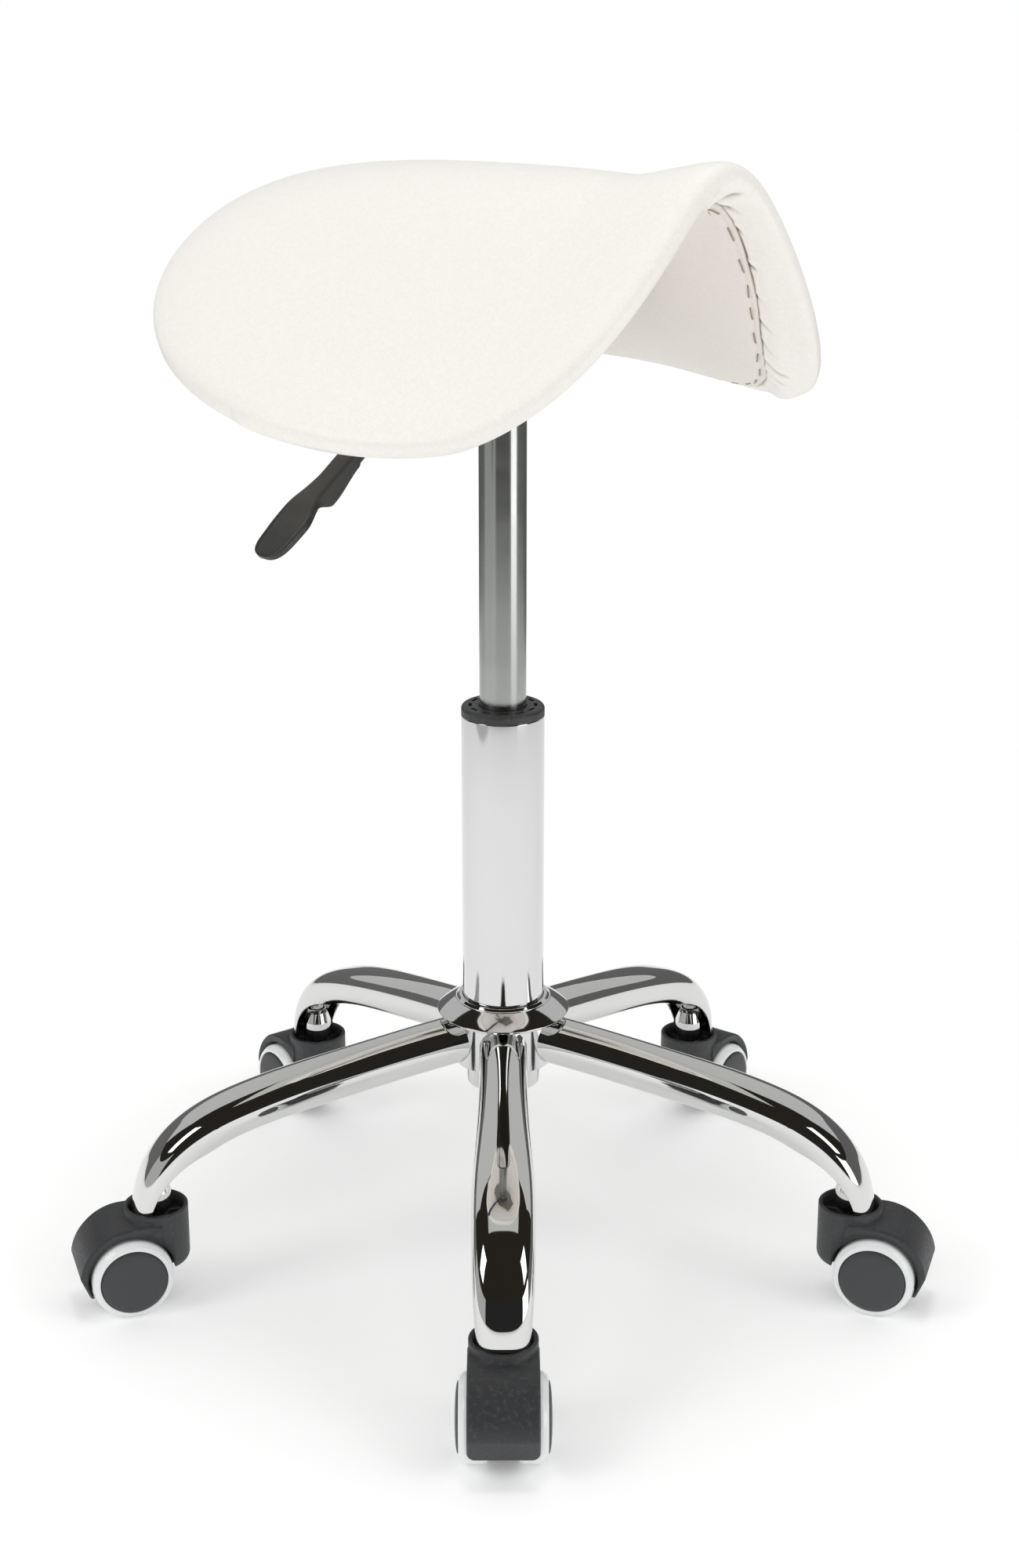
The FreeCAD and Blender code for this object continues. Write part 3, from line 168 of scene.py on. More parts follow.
@dataclass(frozen=True)
class Finish:
    """One real material and how its surface was made."""

    name: str
    colour: str
    roughness: float
    metallic: float = 0.0
    pattern: Pattern = Pattern.MOULD
    grain_mm: float = 0.6        # size of one grain
    relief_mm: float = 0.02      # height of the grain
    tone: str = ""               # second colour of the mottling
    mottle_mm: float = 40.0      # size of the mottled patches
    rough_spread: float = 0.05   # how much the roughness wanders
    coat: float = 0.0
    sheen: float = 0.0
    brushed: float = 0.0         # stretch of the gloss along Z, from marks that run round the piece
    scuffs: float = 0.0          # share of paler rubbed spots
    pit_shade: str = ""               # colour of painted shade in the pits of the grain
    folds: str = ""              # colour of painted shade in tight folds, where the piece has a "fold" attribute

    def relief(self, tree: bpy.types.NodeTree, place: bpy.types.NodeSocket) -> bpy.types.NodeSocket:
        """Height field of the fine relief, 0 to 1.

        Args:
            tree: the material's node tree.
            place: object coordinates in metres.

        Returns:
            A float socket with the height.
        """
        scale = 1 / (self.grain_mm * MM)
        if self.pattern is Pattern.PEBBLE:
            cells = add_node(tree, "ShaderNodeTexVoronoi", {"feature": "SMOOTH_F1"},
                             {"Vector": place, "Scale": scale, "Smoothness": 0.6})
            creases = add_node(tree, "ShaderNodeTexNoise", {},
                               {"Vector": place, "Scale": scale / 2.5, "Detail": 3.0})
            return add_node(tree, "ShaderNodeMath", {"operation": "SUBTRACT"},
                            {0: creases.outputs[0], 1: cells.outputs["Distance"]}).outputs[0]
        stretch = {Pattern.DRAWN: (1.0, 1.0, 0.012), Pattern.GROWTH: (1.0, 0.05, 1.0)}
        if self.pattern in stretch:
            place = add_node(tree, "ShaderNodeMapping", {},
                             {"Vector": place, "Scale": stretch[self.pattern]}).outputs[0]
        detail = 1.0 if self.pattern is Pattern.ORANGE_PEEL else 4.0
        return add_node(tree, "ShaderNodeTexNoise", {},
                        {"Vector": place, "Scale": scale, "Detail": detail}).outputs[0]

    def material(self) -> bpy.types.Material:
        """Build the material, once.

        Returns:
            The material.
        """
        name = self.name + "_surface"        # apart from the CAD's plain materials
        if name in bpy.data.materials:
            return bpy.data.materials[name]
        made, tree = bare_material(name)
        place = add_node(tree, "ShaderNodeTexCoord").outputs["Object"]
        shader = add_node(tree, "ShaderNodeBsdfPrincipled", {}, {
            "Base Color": linear(self.colour), "Roughness": self.roughness,
            "Metallic": self.metallic, "Coat Weight": self.coat, "Coat Roughness": 0.08,
            "Sheen Weight": self.sheen})
        height = self.relief(tree, place)
        patches = add_node(tree, "ShaderNodeTexNoise", {},
                           {"Vector": place, "Scale": 1 / (self.mottle_mm * MM), "Detail": 5.0})
        if self.tone:
            share = patches.outputs[0]
            if self.scuffs:
                share = add_node(tree, "ShaderNodeMapRange", {}, {
                    0: share, 1: 0.62 - 0.3 * self.scuffs, 2: 0.74, 3: 0.0, 4: 1.0}).outputs[0]
            paint = add_node(tree, "ShaderNodeMix", {"data_type": "RGBA"}, {
                0: share, 6: linear(self.colour), 7: linear(self.tone)}).outputs[2]
            # painted shade: where the grain is low the colour darkens towards the pits' colour
            if self.pit_shade:
                low = add_node(tree, "ShaderNodeMapRange", {}, {
                    0: height, 1: 0.32, 2: -0.12, 3: 0.0, 4: 1.0}).outputs[0]
                paint = add_node(tree, "ShaderNodeMix", {"data_type": "RGBA"}, {
                    0: low, 6: paint, 7: linear(self.pit_shade)}).outputs[2]
            # painted shade: the fold attribute darkens the colour in tight folds
            if self.folds:
                fold = add_node(tree, "ShaderNodeAttribute", {"attribute_name": "fold"}).outputs["Fac"]
                paint = add_node(tree, "ShaderNodeMix", {"data_type": "RGBA"}, {
                    0: fold, 6: paint, 7: linear(self.folds)}).outputs[2]
            tree.links.new(paint, shader.inputs["Base Color"])
        if self.brushed:
            shader.inputs["Anisotropic"].default_value = self.brushed
            shader.inputs["Anisotropic Rotation"].default_value = 0.25
            around = add_node(tree, "ShaderNodeTangent", {"direction_type": "RADIAL", "axis": "Z"})
            tree.links.new(around.outputs[0], shader.inputs["Tangent"])
        spread = add_node(tree, "ShaderNodeMapRange", {}, {
            0: patches.outputs[0], 1: 0.3, 2: 0.7,
            3: max(self.roughness - self.rough_spread, 0.0), 4: self.roughness + self.rough_spread})
        tree.links.new(spread.outputs[0], shader.inputs["Roughness"])
        bump = add_node(tree, "ShaderNodeBump", {}, {
            "Height": height, "Distance": self.relief_mm * MM, "Strength": 1.0})
        tree.links.new(bump.outputs[0], shader.inputs["Normal"])
        add_node(tree, "ShaderNodeOutputMaterial", {}, {"Surface": shader.outputs[0]})
        return made


# Chrome plate over pressed and polished steel: a mirror with slow waves left by the press.
CHROME = Finish("chrome_plate", "dcdcda", 0.035, 1.0, Pattern.ORANGE_PEEL, 22.0, 0.10,
                tone="d4d5d4", mottle_mm=60.0, rough_spread=0.02)
# The turned column and hub are truer than the pressed legs, so their mirror waves less.
CHROME_TURNED = Finish("chrome_turned", "dcdcdb", 0.06, 1.0, Pattern.ORANGE_PEEL, 30.0, 0.02,
                       tone="d4d5d5", mottle_mm=80.0, rough_spread=0.02)
# Ground and nitrided gas-spring cylinder: grey satin steel with faint lengthwise marks.
SATIN_STEEL = Finish("satin_steel", "b4b6b3", 0.22, 1.0, Pattern.DRAWN, 0.8, 0.003,
                     tone="a9aba9", mottle_mm=25.0, rough_spread=0.04, brushed=0.6)
# Ground bright steel of pins, rods and bearings: even grey with fine lengthwise lines.
GROUND_STEEL = Finish("ground_steel", "b4b6b8", 0.22, 1.0, Pattern.DRAWN, 0.6, 0.005,
                      tone="a6a8aa", mottle_mm=12.0)
# Zinc-plated pressings: dull, slightly blotchy grey.
ZINC_STEEL = Finish("zinc_steel", "8f8d88", 0.38, 1.0, Pattern.MOULD, 1.2, 0.01,
                    tone="77736c", mottle_mm=14.0, rough_spread=0.08)
# Hardened spring wire: darker grey with drawing lines.
SPRING_STEEL = Finish("spring_steel", "6b6b6d", 0.3, 1.0, Pattern.DRAWN, 0.5, 0.004)
# Glass-filled nylon castor hoods and bush: charcoal with a fine spark texture and paler scuffs.
NYLON = Finish("black_nylon", "343537", 0.50, 0.0, Pattern.MOULD, 1.1, 0.14,
               tone="454648", mottle_mm=2.6, rough_spread=0.10, scuffs=0.3)
# Wheel centres: the same nylon, smoother and a little paler.
WHEEL_NYLON = Finish("wheel_nylon", "3a3b3d", 0.5, 0.0, Pattern.MOULD, 0.9, 0.03,
                     tone="404143", mottle_mm=6.0)
# Cast polyurethane tread: white and glossy.
TREAD_PU = Finish("tread_polyurethane", "eef1f0", 0.22, 0.0, Pattern.ORANGE_PEEL, 8.0, 0.01,
                  tone="e7ebe9", mottle_mm=20.0, coat=0.4)
# ABS lever paddle: black, satin.
LEVER_ABS = Finish("lever_abs", "2c2c2a", 0.4, 0.0, Pattern.MOULD, 0.8, 0.015,
                   tone="343431", mottle_mm=16.0)
# Soft PVC-coated cloth stretched over foam: warm white, low gloss, pebble grain, with painted shade in the
# grain's pits and in tight folds.
# The grain is about 1 mm on the cloth; it is drawn at 1.8 mm to stay visible in the whole view.
VINYL = Finish("white_vinyl", "f7f6f0", 0.42, 0.0, Pattern.PEBBLE, 1.8, 0.22,
               tone="f5f3ec", mottle_mm=70.0, rough_spread=0.04, sheen=0.05,
               pit_shade="f4f1e9", folds="94836a")
# The lining under the seat is the same cloth, matter and slightly greyer, with painted shade in the grain's
# pits.
LINING = Finish("lining_vinyl", "ece8e2", 0.6, 0.0, Pattern.PEBBLE, 1.8, 0.14,
                tone="e9e5de", mottle_mm=50.0, pit_shade="e9e4dd")
# Galvanised staple wire: dull, a little yellowed by its resin glue.
STAPLE = Finish("staple_wire", "a89e8a", 0.4, 0.5, Pattern.MOULD, 0.6, 0.01,
                tone="8a8069", mottle_mm=6.0)
# Moulded rubber bumper: matt near-black.
RUBBER = Finish("bumper_rubber", "26272a", 0.7, 0.0, Pattern.MOULD, 0.8, 0.02)
# Planed beech block: pinkish brown with long fibres.
BEECH = Finish("beech_block", "c79e6f", 0.55, 0.0, Pattern.GROWTH, 1.2, 0.03,
               tone="b0834f", mottle_mm=9.0)
# Bare moulded plywood: paler than the block, with the same long fibres.
PLYWOOD = Finish("plywood", "cba878", 0.6, 0.0, Pattern.GROWTH, 1.5, 0.03, tone="b99060")
# Moulded polyurethane foam: cream, quite matt, open cells.
FOAM = Finish("foam", "efe6c8", 0.9, 0.0, Pattern.MOULD, 1.5, 0.3, tone="e6dbb6")


def dress(piece: bpy.types.Object, finish: Finish) -> None:
    """Give a piece one finish all over.

    Args:
        piece: mesh object; each of its material slots gets the finish.
        finish: the finish.
    """
    material = finish.material()
    if not piece.data.materials:
        piece.data.materials.append(material)
    for number in range(len(piece.data.materials)):
        piece.data.materials[number] = material


# ------------------------------------------------------------------ surfaces
def rounded(corners: Sequence[tuple[float, ...]], steps: int = 6) -> Array:
    """Closed outline through corners whose third number, if any, is a rounding radius.

    Each rounded corner becomes an arc tangent to its two edges.

    Args:
        corners: (across, along[, radius]) in metres.
        steps: segments in an arc.

    Returns:
        Points of the outline, shape (n, 2).
    """
    spots = np.array([corner[:2] for corner in corners], float)
    pieces = []
    for number, corner in enumerate(corners):
        radius = corner[2] if len(corner) > 2 else 0.0
        if radius <= 0:
            pieces.append(spots[number][None])
            continue
        back = spots[number - 1] - spots[number]
        ahead = spots[(number + 1) % len(spots)] - spots[number]
        back, ahead = back / np.linalg.norm(back), ahead / np.linalg.norm(ahead)
        half = math.acos(float(np.clip(back @ ahead, -1, 1))) / 2
        middle = (back + ahead) / np.linalg.norm(back + ahead)
        centre = spots[number] + middle * radius / math.sin(half)
        start = spots[number] + back * radius / math.tan(half) - centre
        end = spots[number] + ahead * radius / math.tan(half) - centre
        sweep = math.pi - 2 * half
        t = np.linspace(0, 1, steps + 1)[:, None]
        pieces.append(centre + (np.sin((1 - t) * sweep) * start + np.sin(t * sweep) * end) / math.sin(sweep))
    return np.concatenate(pieces)


def new_mesh(name: str, points: Array, faces: Sequence[Sequence[int]],
             fold: Array | None = None) -> bpy.types.Object:
    """Mesh object from points and faces, its doubles merged and its faces turned outwards.

    Args:
        name: name of the object and its mesh.
        points: places in metres, last axis of length 3.
        faces: point numbers of each face.
        fold: a value for each point, kept as the attribute "fold", which places painted shade.

    Returns:
        The new object, linked to the scene.
    """
    mesh = bpy.data.meshes.new(name)
    mesh.from_pydata(points.reshape(-1, 3).tolist(), [], faces)
    mesh.validate()
    if fold is not None:
        mesh.attributes.new("fold", "FLOAT", "POINT").data.foreach_set("value", fold.ravel())
    shape = bmesh.new()
    shape.from_mesh(mesh)
    bmesh.ops.remove_doubles(shape, verts=shape.verts, dist=2e-6)
    bmesh.ops.recalc_face_normals(shape, faces=shape.faces)
    shape.to_mesh(mesh)
    shape.free()
    mesh.polygons.foreach_set("use_smooth", np.ones(len(mesh.polygons), bool))
    piece = bpy.data.objects.new(name, mesh)
    bpy.context.scene.collection.objects.link(piece)
    return piece


def grid_faces(rows: int, columns: int, wrap_rows: bool, wrap_columns: bool, start: int = 0) -> Array:
    """Quads of a grid of points numbered row by row.

    Args:
        rows: rows of points.
        columns: points in a row.
        wrap_rows: whether the last row joins the first.
        wrap_columns: whether each row is a loop.
        start: number of the grid's first point.

    Returns:
        Point numbers, shape (n, 4).
    """
    row = np.arange(rows if wrap_rows else rows - 1)[:, None]
    column = np.arange(columns if wrap_columns else columns - 1)[None, :]
    below, right = (row + 1) % rows, (column + 1) % columns
    quads = [row * columns + column, row * columns + right, below * columns + right,
             below * columns + column]
    spread = [np.broadcast_to(quad, (len(row), column.shape[1])) for quad in quads]
    return np.stack(spread, -1).reshape(-1, 4) + start


def grid_piece(name: str, points: Array, wrap_rows: bool = False,
               fold: Array | None = None) -> bpy.types.Object:
    """Piece whose surface is one grid of points; each row is a loop.

    Args:
        name: name of the object.
        points: places in metres, shape (rows, columns, 3).
        wrap_rows: whether the last row joins the first.
        fold: a value for each point, see new_mesh.

    Returns:
        The new object.
    """
    rows, columns = points.shape[:2]
    return new_mesh(name, points, grid_faces(rows, columns, wrap_rows, True).tolist(), fold)


def turned_points(profile: Array, segments: int) -> Array:
    """Surface of revolution about Z: (r cos t, r sin t, h) for each profile point (r, h) and angle t.

    Args:
        profile: radius and height of each point, shape (n, 2).
        segments: steps round the axis.

    Returns:
        Points, shape (n, segments, 3).
    """
    angle = np.linspace(0, TURN, segments, endpoint=False)
    radius, height = profile[:, 0][:, None], profile[:, 1][:, None]
    return np.stack([radius * np.cos(angle), radius * np.sin(angle),
                     np.broadcast_to(height, (len(profile), segments))], -1)


def turned(name: str, corners: Sequence[tuple[float, ...]], segments: int = 128,
           steps: int = 6) -> bpy.types.Object:
    """Turned piece from a closed profile.

    Args:
        name: name of the object.
        corners: (radius, height[, rounding]) of the profile's corners in millimetres.
        segments: steps round the axis.
        steps: segments in each rounding.

    Returns:
        The new object.
    """
    profile = rounded([tuple(value * MM for value in corner) for corner in corners], steps)
    return grid_piece(name, turned_points(profile, segments), wrap_rows=True)


def read_between(knots: Sequence[tuple[float, float]], angle: Array, offsets: Array) -> Array:
    """Value read between knots round the seat, evened out over a few degrees.

    Args:
        knots: (degrees from straight ahead, value), the same on both sides.
        angle: from straight ahead.
        offsets: degrees added to each angle; the readings are averaged.

    Returns:
        One value for each angle.
    """
    around = np.cos(angle[..., None] + np.radians(offsets))
    return np.interp(np.degrees(np.arccos(np.clip(around, -1, 1))), *zip(*knots)).mean(-1)


def bent_smoothly(knots: Array, count: int) -> Array:
    """Smooth curve through knots of any width: a natural cubic spline on chord length.

    The second derivatives M solve h[i-1] M[i-1] + 2 (h[i-1] + h[i]) M[i] + h[i] M[i+1]
    = 6 (slope[i] - slope[i-1]), with M = 0 at both ends, so that mirrors on the surface don't break.

    Args:
        knots: values at the knots, shape (n, k); the first two columns are a place.
        count: samples wanted.

    Returns:
        Samples evenly spaced along the chord length, shape (count, k).
    """
    gap = np.linalg.norm(np.diff(knots[:, :2], axis=0), axis=1)
    at = np.concatenate([[0.0], np.cumsum(gap)])
    rise = np.diff(knots, axis=0) / gap[:, None]
    system = np.diag(2 * (gap[:-1] + gap[1:])) + np.diag(gap[1:-1], 1) + np.diag(gap[1:-1], -1)
    bend = np.zeros_like(knots)
    bend[1:-1] = np.linalg.solve(system, 6 * np.diff(rise, axis=0))
    t = np.linspace(0, at[-1], count)
    left = np.clip(np.searchsorted(at, t, side="right") - 1, 0, len(at) - 2)
    span, start, end = gap[left][:, None], bend[left], bend[left + 1]
    x, y = (t - at[left])[:, None], (at[left + 1] - t)[:, None]
    return ((start * y ** 3 + end * x ** 3) / (6 * span) + (knots[left] / span - start * span / 6) * y
            + (knots[left + 1] / span - end * span / 6) * x)


def turn_about_z(points: Array, degrees: float) -> Array:
    """Points turned about the Z axis.

    Args:
        points: places, last axis of length 3.
        degrees: the turn, anticlockwise from above.

    Returns:
        The turned points, same shape.
    """
    c, s = math.cos(math.radians(degrees)), math.sin(math.radians(degrees))
    return points @ np.array([[c, s, 0], [-s, c, 0], [0, 0, 1]])


def join(name: str, parts: Sequence[bpy.types.Object]) -> bpy.types.Object:
    """One mesh object from several.

    Args:
        name: name of the new object.
        parts: the objects, which are removed.

    Returns:
        The new object.
    """
    shape = bmesh.new()
    for part in parts:
        shape.from_mesh(part.data)
        bpy.data.objects.remove(part)
    mesh = bpy.data.meshes.new(name)
    shape.to_mesh(mesh)
    shape.free()
    piece = bpy.data.objects.new(name, mesh)
    bpy.context.scene.collection.objects.link(piece)
    return piece


def copy_at(piece: bpy.types.Object, name: str, change: Callable[[Array], Array]) -> bpy.types.Object:
    """Copy of a piece whose points are moved by a function.

    Args:
        piece: the object, which stays.
        name: name of the copy.
        change: takes points of shape (n, 3) and returns them moved.

    Returns:
        The copy.
    """
    copy = bpy.data.objects.new(name, piece.data.copy())
    flat = np.empty(len(copy.data.vertices) * 3)
    copy.data.vertices.foreach_get("co", flat)
    copy.data.vertices.foreach_set("co", change(flat.reshape(-1, 3)).ravel())
    copy.data.update()
    bpy.context.scene.collection.objects.link(copy)
    return copy


def settle(piece: bpy.types.Object, finish: Finish, body: str, slot: str, *nodes: str) -> bpy.types.Object:
    """Dress a finished piece, let it ride on its body and stand for its CAD nodes.

    Args:
        piece: the finished piece.
        finish: its finish.
        body: the body it rides on.
        slot: its material slot; not used.
        nodes: CAD nodes it takes the place of.

    Returns:
        The same piece.
    """
    dress(piece, finish)
    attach(piece, body)
    if nodes:
        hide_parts(*nodes)
    LOG.info("%s: %d faces on %s", piece.name, len(piece.data.polygons), body)
    return piece


# ------------------------------------------------------------------ saddle seat
@dataclass(frozen=True)
class SaddleForm:
    """Form of the pad, in millimetres and degrees.

    A middle surface is bent over a ridge that runs front to rear.  u runs forwards along the ridge and
    s sideways along the surface.  The side slope at s is
    steep * tanh(bend * s / steep) - flare * (s / half)^3; its cosine and sine, summed along s, give the
    sideways place and the drop.  The outline is a bent superellipse, and the pad's thickness over it is a
    superellipse too.
    """

    long: float = 370.0
    half: float = 214.8          # half width along the surface
    shift: float = -8.37         # of the whole seat, forwards
    height: float = 647.0        # of the middle surface at the ridge's lowest point
    ridge_low: float = 110.0     # that point, ahead of the seat's middle
    pommel_rise: float = 21.2
    rear_rise: float = 4.55
    pommel_power: float = 1.41
    rear_power: float = 1.40
    front_bend: float = 0.0418   # bend over the ridge at the pommel and at the rear, radians per mm
    rear_bend: float = 0.0063
    front_slope: float = 52.24   # side slope that the bend tends to, at the pommel and at the rear
    rear_slope: float = 41.47
    flare: float = 49.2
    thick: float = 53.75         # at the rear
    front_share: float = 0.652   # share of it at the pommel
    power: float = 3.06          # of the thickness superellipse
    below: float = 0.4266        # share of the thickness under the middle surface
    lean: float = -0.1496        # the outline's side reach changes with cos and cos^2 of the angle
    waist: float = -0.1018
    side_power: float = 0.7439
    front_power: float = 1.2666
    sweep: float = 14.8          # the wings lie this far behind the middle
    nose_up: float = 4.12        # tilt, about a line at pitch_height
    pitch_height: float = 620.0
    turn: float = SEAT_TURN

    def outline(self, angle: Array) -> tuple[Array, Array]:
        """Bent superellipse of the outline.

        Args:
            angle: from straight ahead.

        Returns:
            Forward reach and signed half width, mm.
        """
        c, s = np.cos(angle), np.sin(angle)
        forward = np.where(c > 0, np.abs(c) ** self.front_power, c)
        spread = signed_power(s, self.side_power) * (1 - self.lean * c - self.waist * c * c)
        return forward * self.long / 2, spread * self.half / (1 + 0.3 * abs(self.lean))

    def middle(self, u: Array, s: Array) -> Array:
        """Points of the middle surface: eight-point Gauss sums of the side slope along s.

        Args:
            u: place along the ridge, mm.
            s: place across it, along the surface, mm.

        Returns:
            Points in mm, last axis of length 3, before the seat's tilt and turn.
        """
        share = np.clip(u / self.long + 0.5, -0.15, 1.15)
        bend = self.rear_bend ** (1 - share) * self.front_bend ** share
        steep = np.radians(self.rear_slope * (1 - share) + self.front_slope * share)
        places, weights = np.polynomial.legendre.leggauss(8)
        along = np.abs(s)[..., None] * (places + 1) / 2
        slope = (steep[..., None] * np.tanh(bend[..., None] * along / steep[..., None])
                 - math.radians(self.flare) * (along / self.half) ** 3)
        side = (np.cos(slope) * weights).sum(-1) * s / 2
        drop = (np.sin(slope) * weights).sum(-1) * np.abs(s) / 2
        ahead = u - self.ridge_low
        rise = np.where(
            ahead > 0,
            self.pommel_rise * np.abs(ahead / (self.long / 2 - self.ridge_low)) ** self.pommel_power,
            self.rear_rise * np.abs(ahead / (self.long / 2 + self.ridge_low)) ** self.rear_power)
        return np.stack([u, side, self.height + rise - drop], -1)

    def skin(self, angle: Array, ratio: Array, swell: Array, lift: Array | float = 0.0) -> Array:
        """Points of the pad's skin in the frame's metres.

        The place on the middle surface is ratio times the outline at that angle; the point lies along the
        normal by swell times the thickness there, plus lift outwards.

        Args:
            angle: direction from the outline's centre, 0 ahead.
            ratio: 0 at the centre, 1 on the outline.
            swell: -1 to 1, share of the thickness below or above the middle surface.
            lift: millimetres outwards from the skin.

        Returns:
            Points, one more axis than the arguments.
        """
        forward, half = self.outline(angle)
        s = ratio * half
        u = ratio * forward - self.sweep * (s / self.half) ** 2
        base, step = self.middle(u, s), 0.5
        normal = np.cross(self.middle(u + step, s) - base, self.middle(u, s + step) - base)
        normal /= np.linalg.norm(normal, axis=-1, keepdims=True)
        share = np.clip(u / self.long + 0.5, -0.15, 1.15)
        thick = self.thick * (1 + (self.front_share - 1) * share)
        side = np.where(swell >= 0, 1 - self.below, self.below)
        out = np.where(swell >= 0, 1.0, -1.0) * lift
        point = base + normal * (swell * thick * side + out)[..., None]
        tilt = math.radians(self.nose_up)
        x, z = point[..., 0], point[..., 2] - self.pitch_height
        ahead = x * math.cos(tilt) - z * math.sin(tilt) + self.shift
        up = x * math.sin(tilt) + z * math.cos(tilt) + self.pitch_height
        return turn_about_z(np.stack([-point[..., 1], ahead, up], -1) * MM, self.turn)


@dataclass
class Gather:
    """One fold of the cover: a straight stroke that leaves the seam."""

    at: float            # degrees round the seat, 0 ahead and 90 on the sitter's left
    out: float           # mm from the seam to the fold's end
    shift: float         # mm along the seam from the fold's start to its end
    deep: float          # mm
    wide: float = 1.0    # mm


@dataclass
class Seat:
    """Upholstered saddle: drawn vinyl cover, stapled lining and the staples."""

    form: SaddleForm = field(default_factory=SaddleForm)
    around: int = 880            # columns of the cover
    top_rows: int = 46
    under_rows: int = 61
    scale_steps: int = 2881      # steps in which the seam's length is measured
    # cover turned under the edge, mm, at degrees from straight ahead
    seam: tuple[tuple[float, float], ...] = (
        (0, 20), (5, 19), (10, 23), (15, 26), (20, 29), (27, 31), (35, 28), (45, 27), (90, 30), (180, 30))
    pitch: float = 21.0          # staple spacing, mm
    crown: float = 10.8          # staple length, mm
    wire: float = 0.75
    staple_in: float = 4.0       # staples sit this far inside the fold
    roll: float = 1.3            # the cover stands out beside the seam, most at roll_out from it
    roll_out: float = 10.0
    roll_wide: float = 8.0
    # more where it is gathered round the wing's front corner: mm, at and over degrees, mm from the seam
    tip_roll: tuple[tuple[float, float, float, float], ...] = ((2.2, 32.0, 8.0, 10.0), (4.0, 42.0, 4.5, 16.0))
    valley: float = 1.3          # and it dips into the seam
    valley_wide: float = 1.1
    edge_power: float = 2.35     # superellipse of the upper half: rounder than the CAD pad's
    board_in: float = 9.0        # the plywood shell ends this far inside the seam
    sheet_at: float = -0.7       # middle of the lining's edge, outwards from the pad's skin
    sheet_half: float = 1.4      # half the thickness there
    # the lining hangs below the skin of the pad, mm, at degrees from straight ahead
    sag: tuple[tuple[float, float], ...] = (
        (0, 0), (30, -1.0), (50, -1.6), (75, 2), (95, 12), (115, 20), (150, 20), (180, 15))
    gathers: list[Gather] = field(default_factory=lambda: [
        Gather(-0.5, 15.0, 15.5, 4.2, 1.2), Gather(-0.5, 3.4, 19.0, 3.6, 1.0),
        Gather(-1.5, 17.0, 5.0, 2.2, 1.6), Gather(1.0, 8.0, 14.0, 1.8, 1.2),
        Gather(4.5, 2.5, 6.0, 2.2, 0.8), Gather(9.6, 4.2, 5.5, 3.2, 0.9),
        Gather(15.0, 5.0, 5.0, 1.2, 1.3), Gather(20.0, 9.0, 8.5, 1.6, 1.3),
        Gather(29.5, 16.0, 14.0, 3.6, 1.2), Gather(32.5, 13.0, 13.0, 3.0, 1.1),
        Gather(35.5, 9.0, 10.0, 2.8, 1.0), Gather(25.0, 10.0, 10.0, 1.2, 1.6),
        Gather(-12.0, 8.0, -9.0, 1.0, 1.6), Gather(-24.0, 12.0, -12.0, 1.2, 1.7),
        Gather(-31.0, 15.0, -12.0, 1.5, 1.7), Gather(-35.0, 12.0, -9.0, 1.3, 1.8),
        Gather(150.0, 14.0, 7.0, 1.1, 1.8), Gather(163.0, 16.0, 5.0, 1.2, 1.8),
        Gather(199.0, 15.0, -5.0, 1.2, 1.8), Gather(212.0, 13.0, -7.0, 1.1, 1.8)])
    # where the cover is drawn finely, degrees: the folds there are tight
    fine_from: float = -6.0
    fine_to: float = 40.0
    fine_share: float = 0.40     # share of the columns that lie there

    def seam_ratio(self, angle: Array) -> Array:
        """Share of the outline's reach at which the seam runs.

        The turn-under is read between the knots of seam and evened out over a few degrees.

        Args:
            angle: from straight ahead.

        Returns:
            Shares, one for each angle.
        """
        form = self.form
        forward, half = form.outline(angle)
        seam = read_between(self.seam, angle, np.arange(-4, 5))
        return np.hypot(forward * (1 - 2 * seam / form.long),
                        half * (1 - seam / form.half)) / np.hypot(forward, half)

    def swell_at(self, ratio: Array) -> Array:
        """Thickness share of the pad's superellipse at each ratio: (1 - ratio^p)^(1/p)."""
        return (1 - np.minimum(ratio, 1.0) ** self.form.power) ** (1 / self.form.power)

    def seam_scale(self) -> tuple[Array, Array]:
        """Length along the seam, once round the seat.

        Returns:
            Finely stepped angles, and the millimetres from straight ahead to each.
        """
        angle = np.linspace(0, TURN, self.scale_steps)
        ratio = self.seam_ratio(angle)
        line = self.form.skin(angle, ratio, -self.swell_at(ratio)) / MM
        return angle, np.concatenate([[0.0], np.cumsum(np.linalg.norm(np.diff(line, axis=0), axis=1))])

    def creases(self, angle: Array, away: Array) -> Array:
        """Depth of the folds that leave the seam, mm.

        In the plane of (length along the seam, distance from it) each fold is a straight stroke.  Its depth
        is deep * (exp(-(d - 0.3) / wide) - 0.4 * exp(-((d - 2.8 * wide) / (1.5 * wide))^2)) * (1 - t)^0.7:
        a sharp furrow between two swellings, where d is the distance to the stroke, rounded at 0.3 mm, and
        t runs from 0 at the seam to 1 at the fold's end.

        Args:
            angle: direction of each point.
            away: distance outwards from the seam, mm.

        Returns:
            Depths in mm, positive inwards.
        """
        generator = np.random.default_rng(7)
        folds = list(self.gathers)
        for at in np.arange(44.0, 350.0, 9.0):
            folds.append(Gather(at + generator.uniform(-3.5, 3.5), generator.uniform(6, 13),
                                generator.uniform(-6, 6), generator.uniform(0.25, 0.8),
                                generator.uniform(1.8, 2.8)))
        scale, lengths = self.seam_scale()
        total = lengths[-1]
        place = np.interp(np.mod(angle, TURN + 1e-9), scale, lengths)
        depth = np.zeros(np.broadcast(angle, away).shape)
        for fold in folds:
            start = np.interp(math.radians(fold.at) % TURN, scale, lengths)
            x = (place - start + total / 2) % total - total / 2
            t = np.clip((x * fold.shift + away * fold.out) / (fold.shift ** 2 + fold.out ** 2), 0, 1)
            off = np.sqrt((x - t * fold.shift) ** 2 + (away - t * fold.out) ** 2 + 0.09) - 0.3
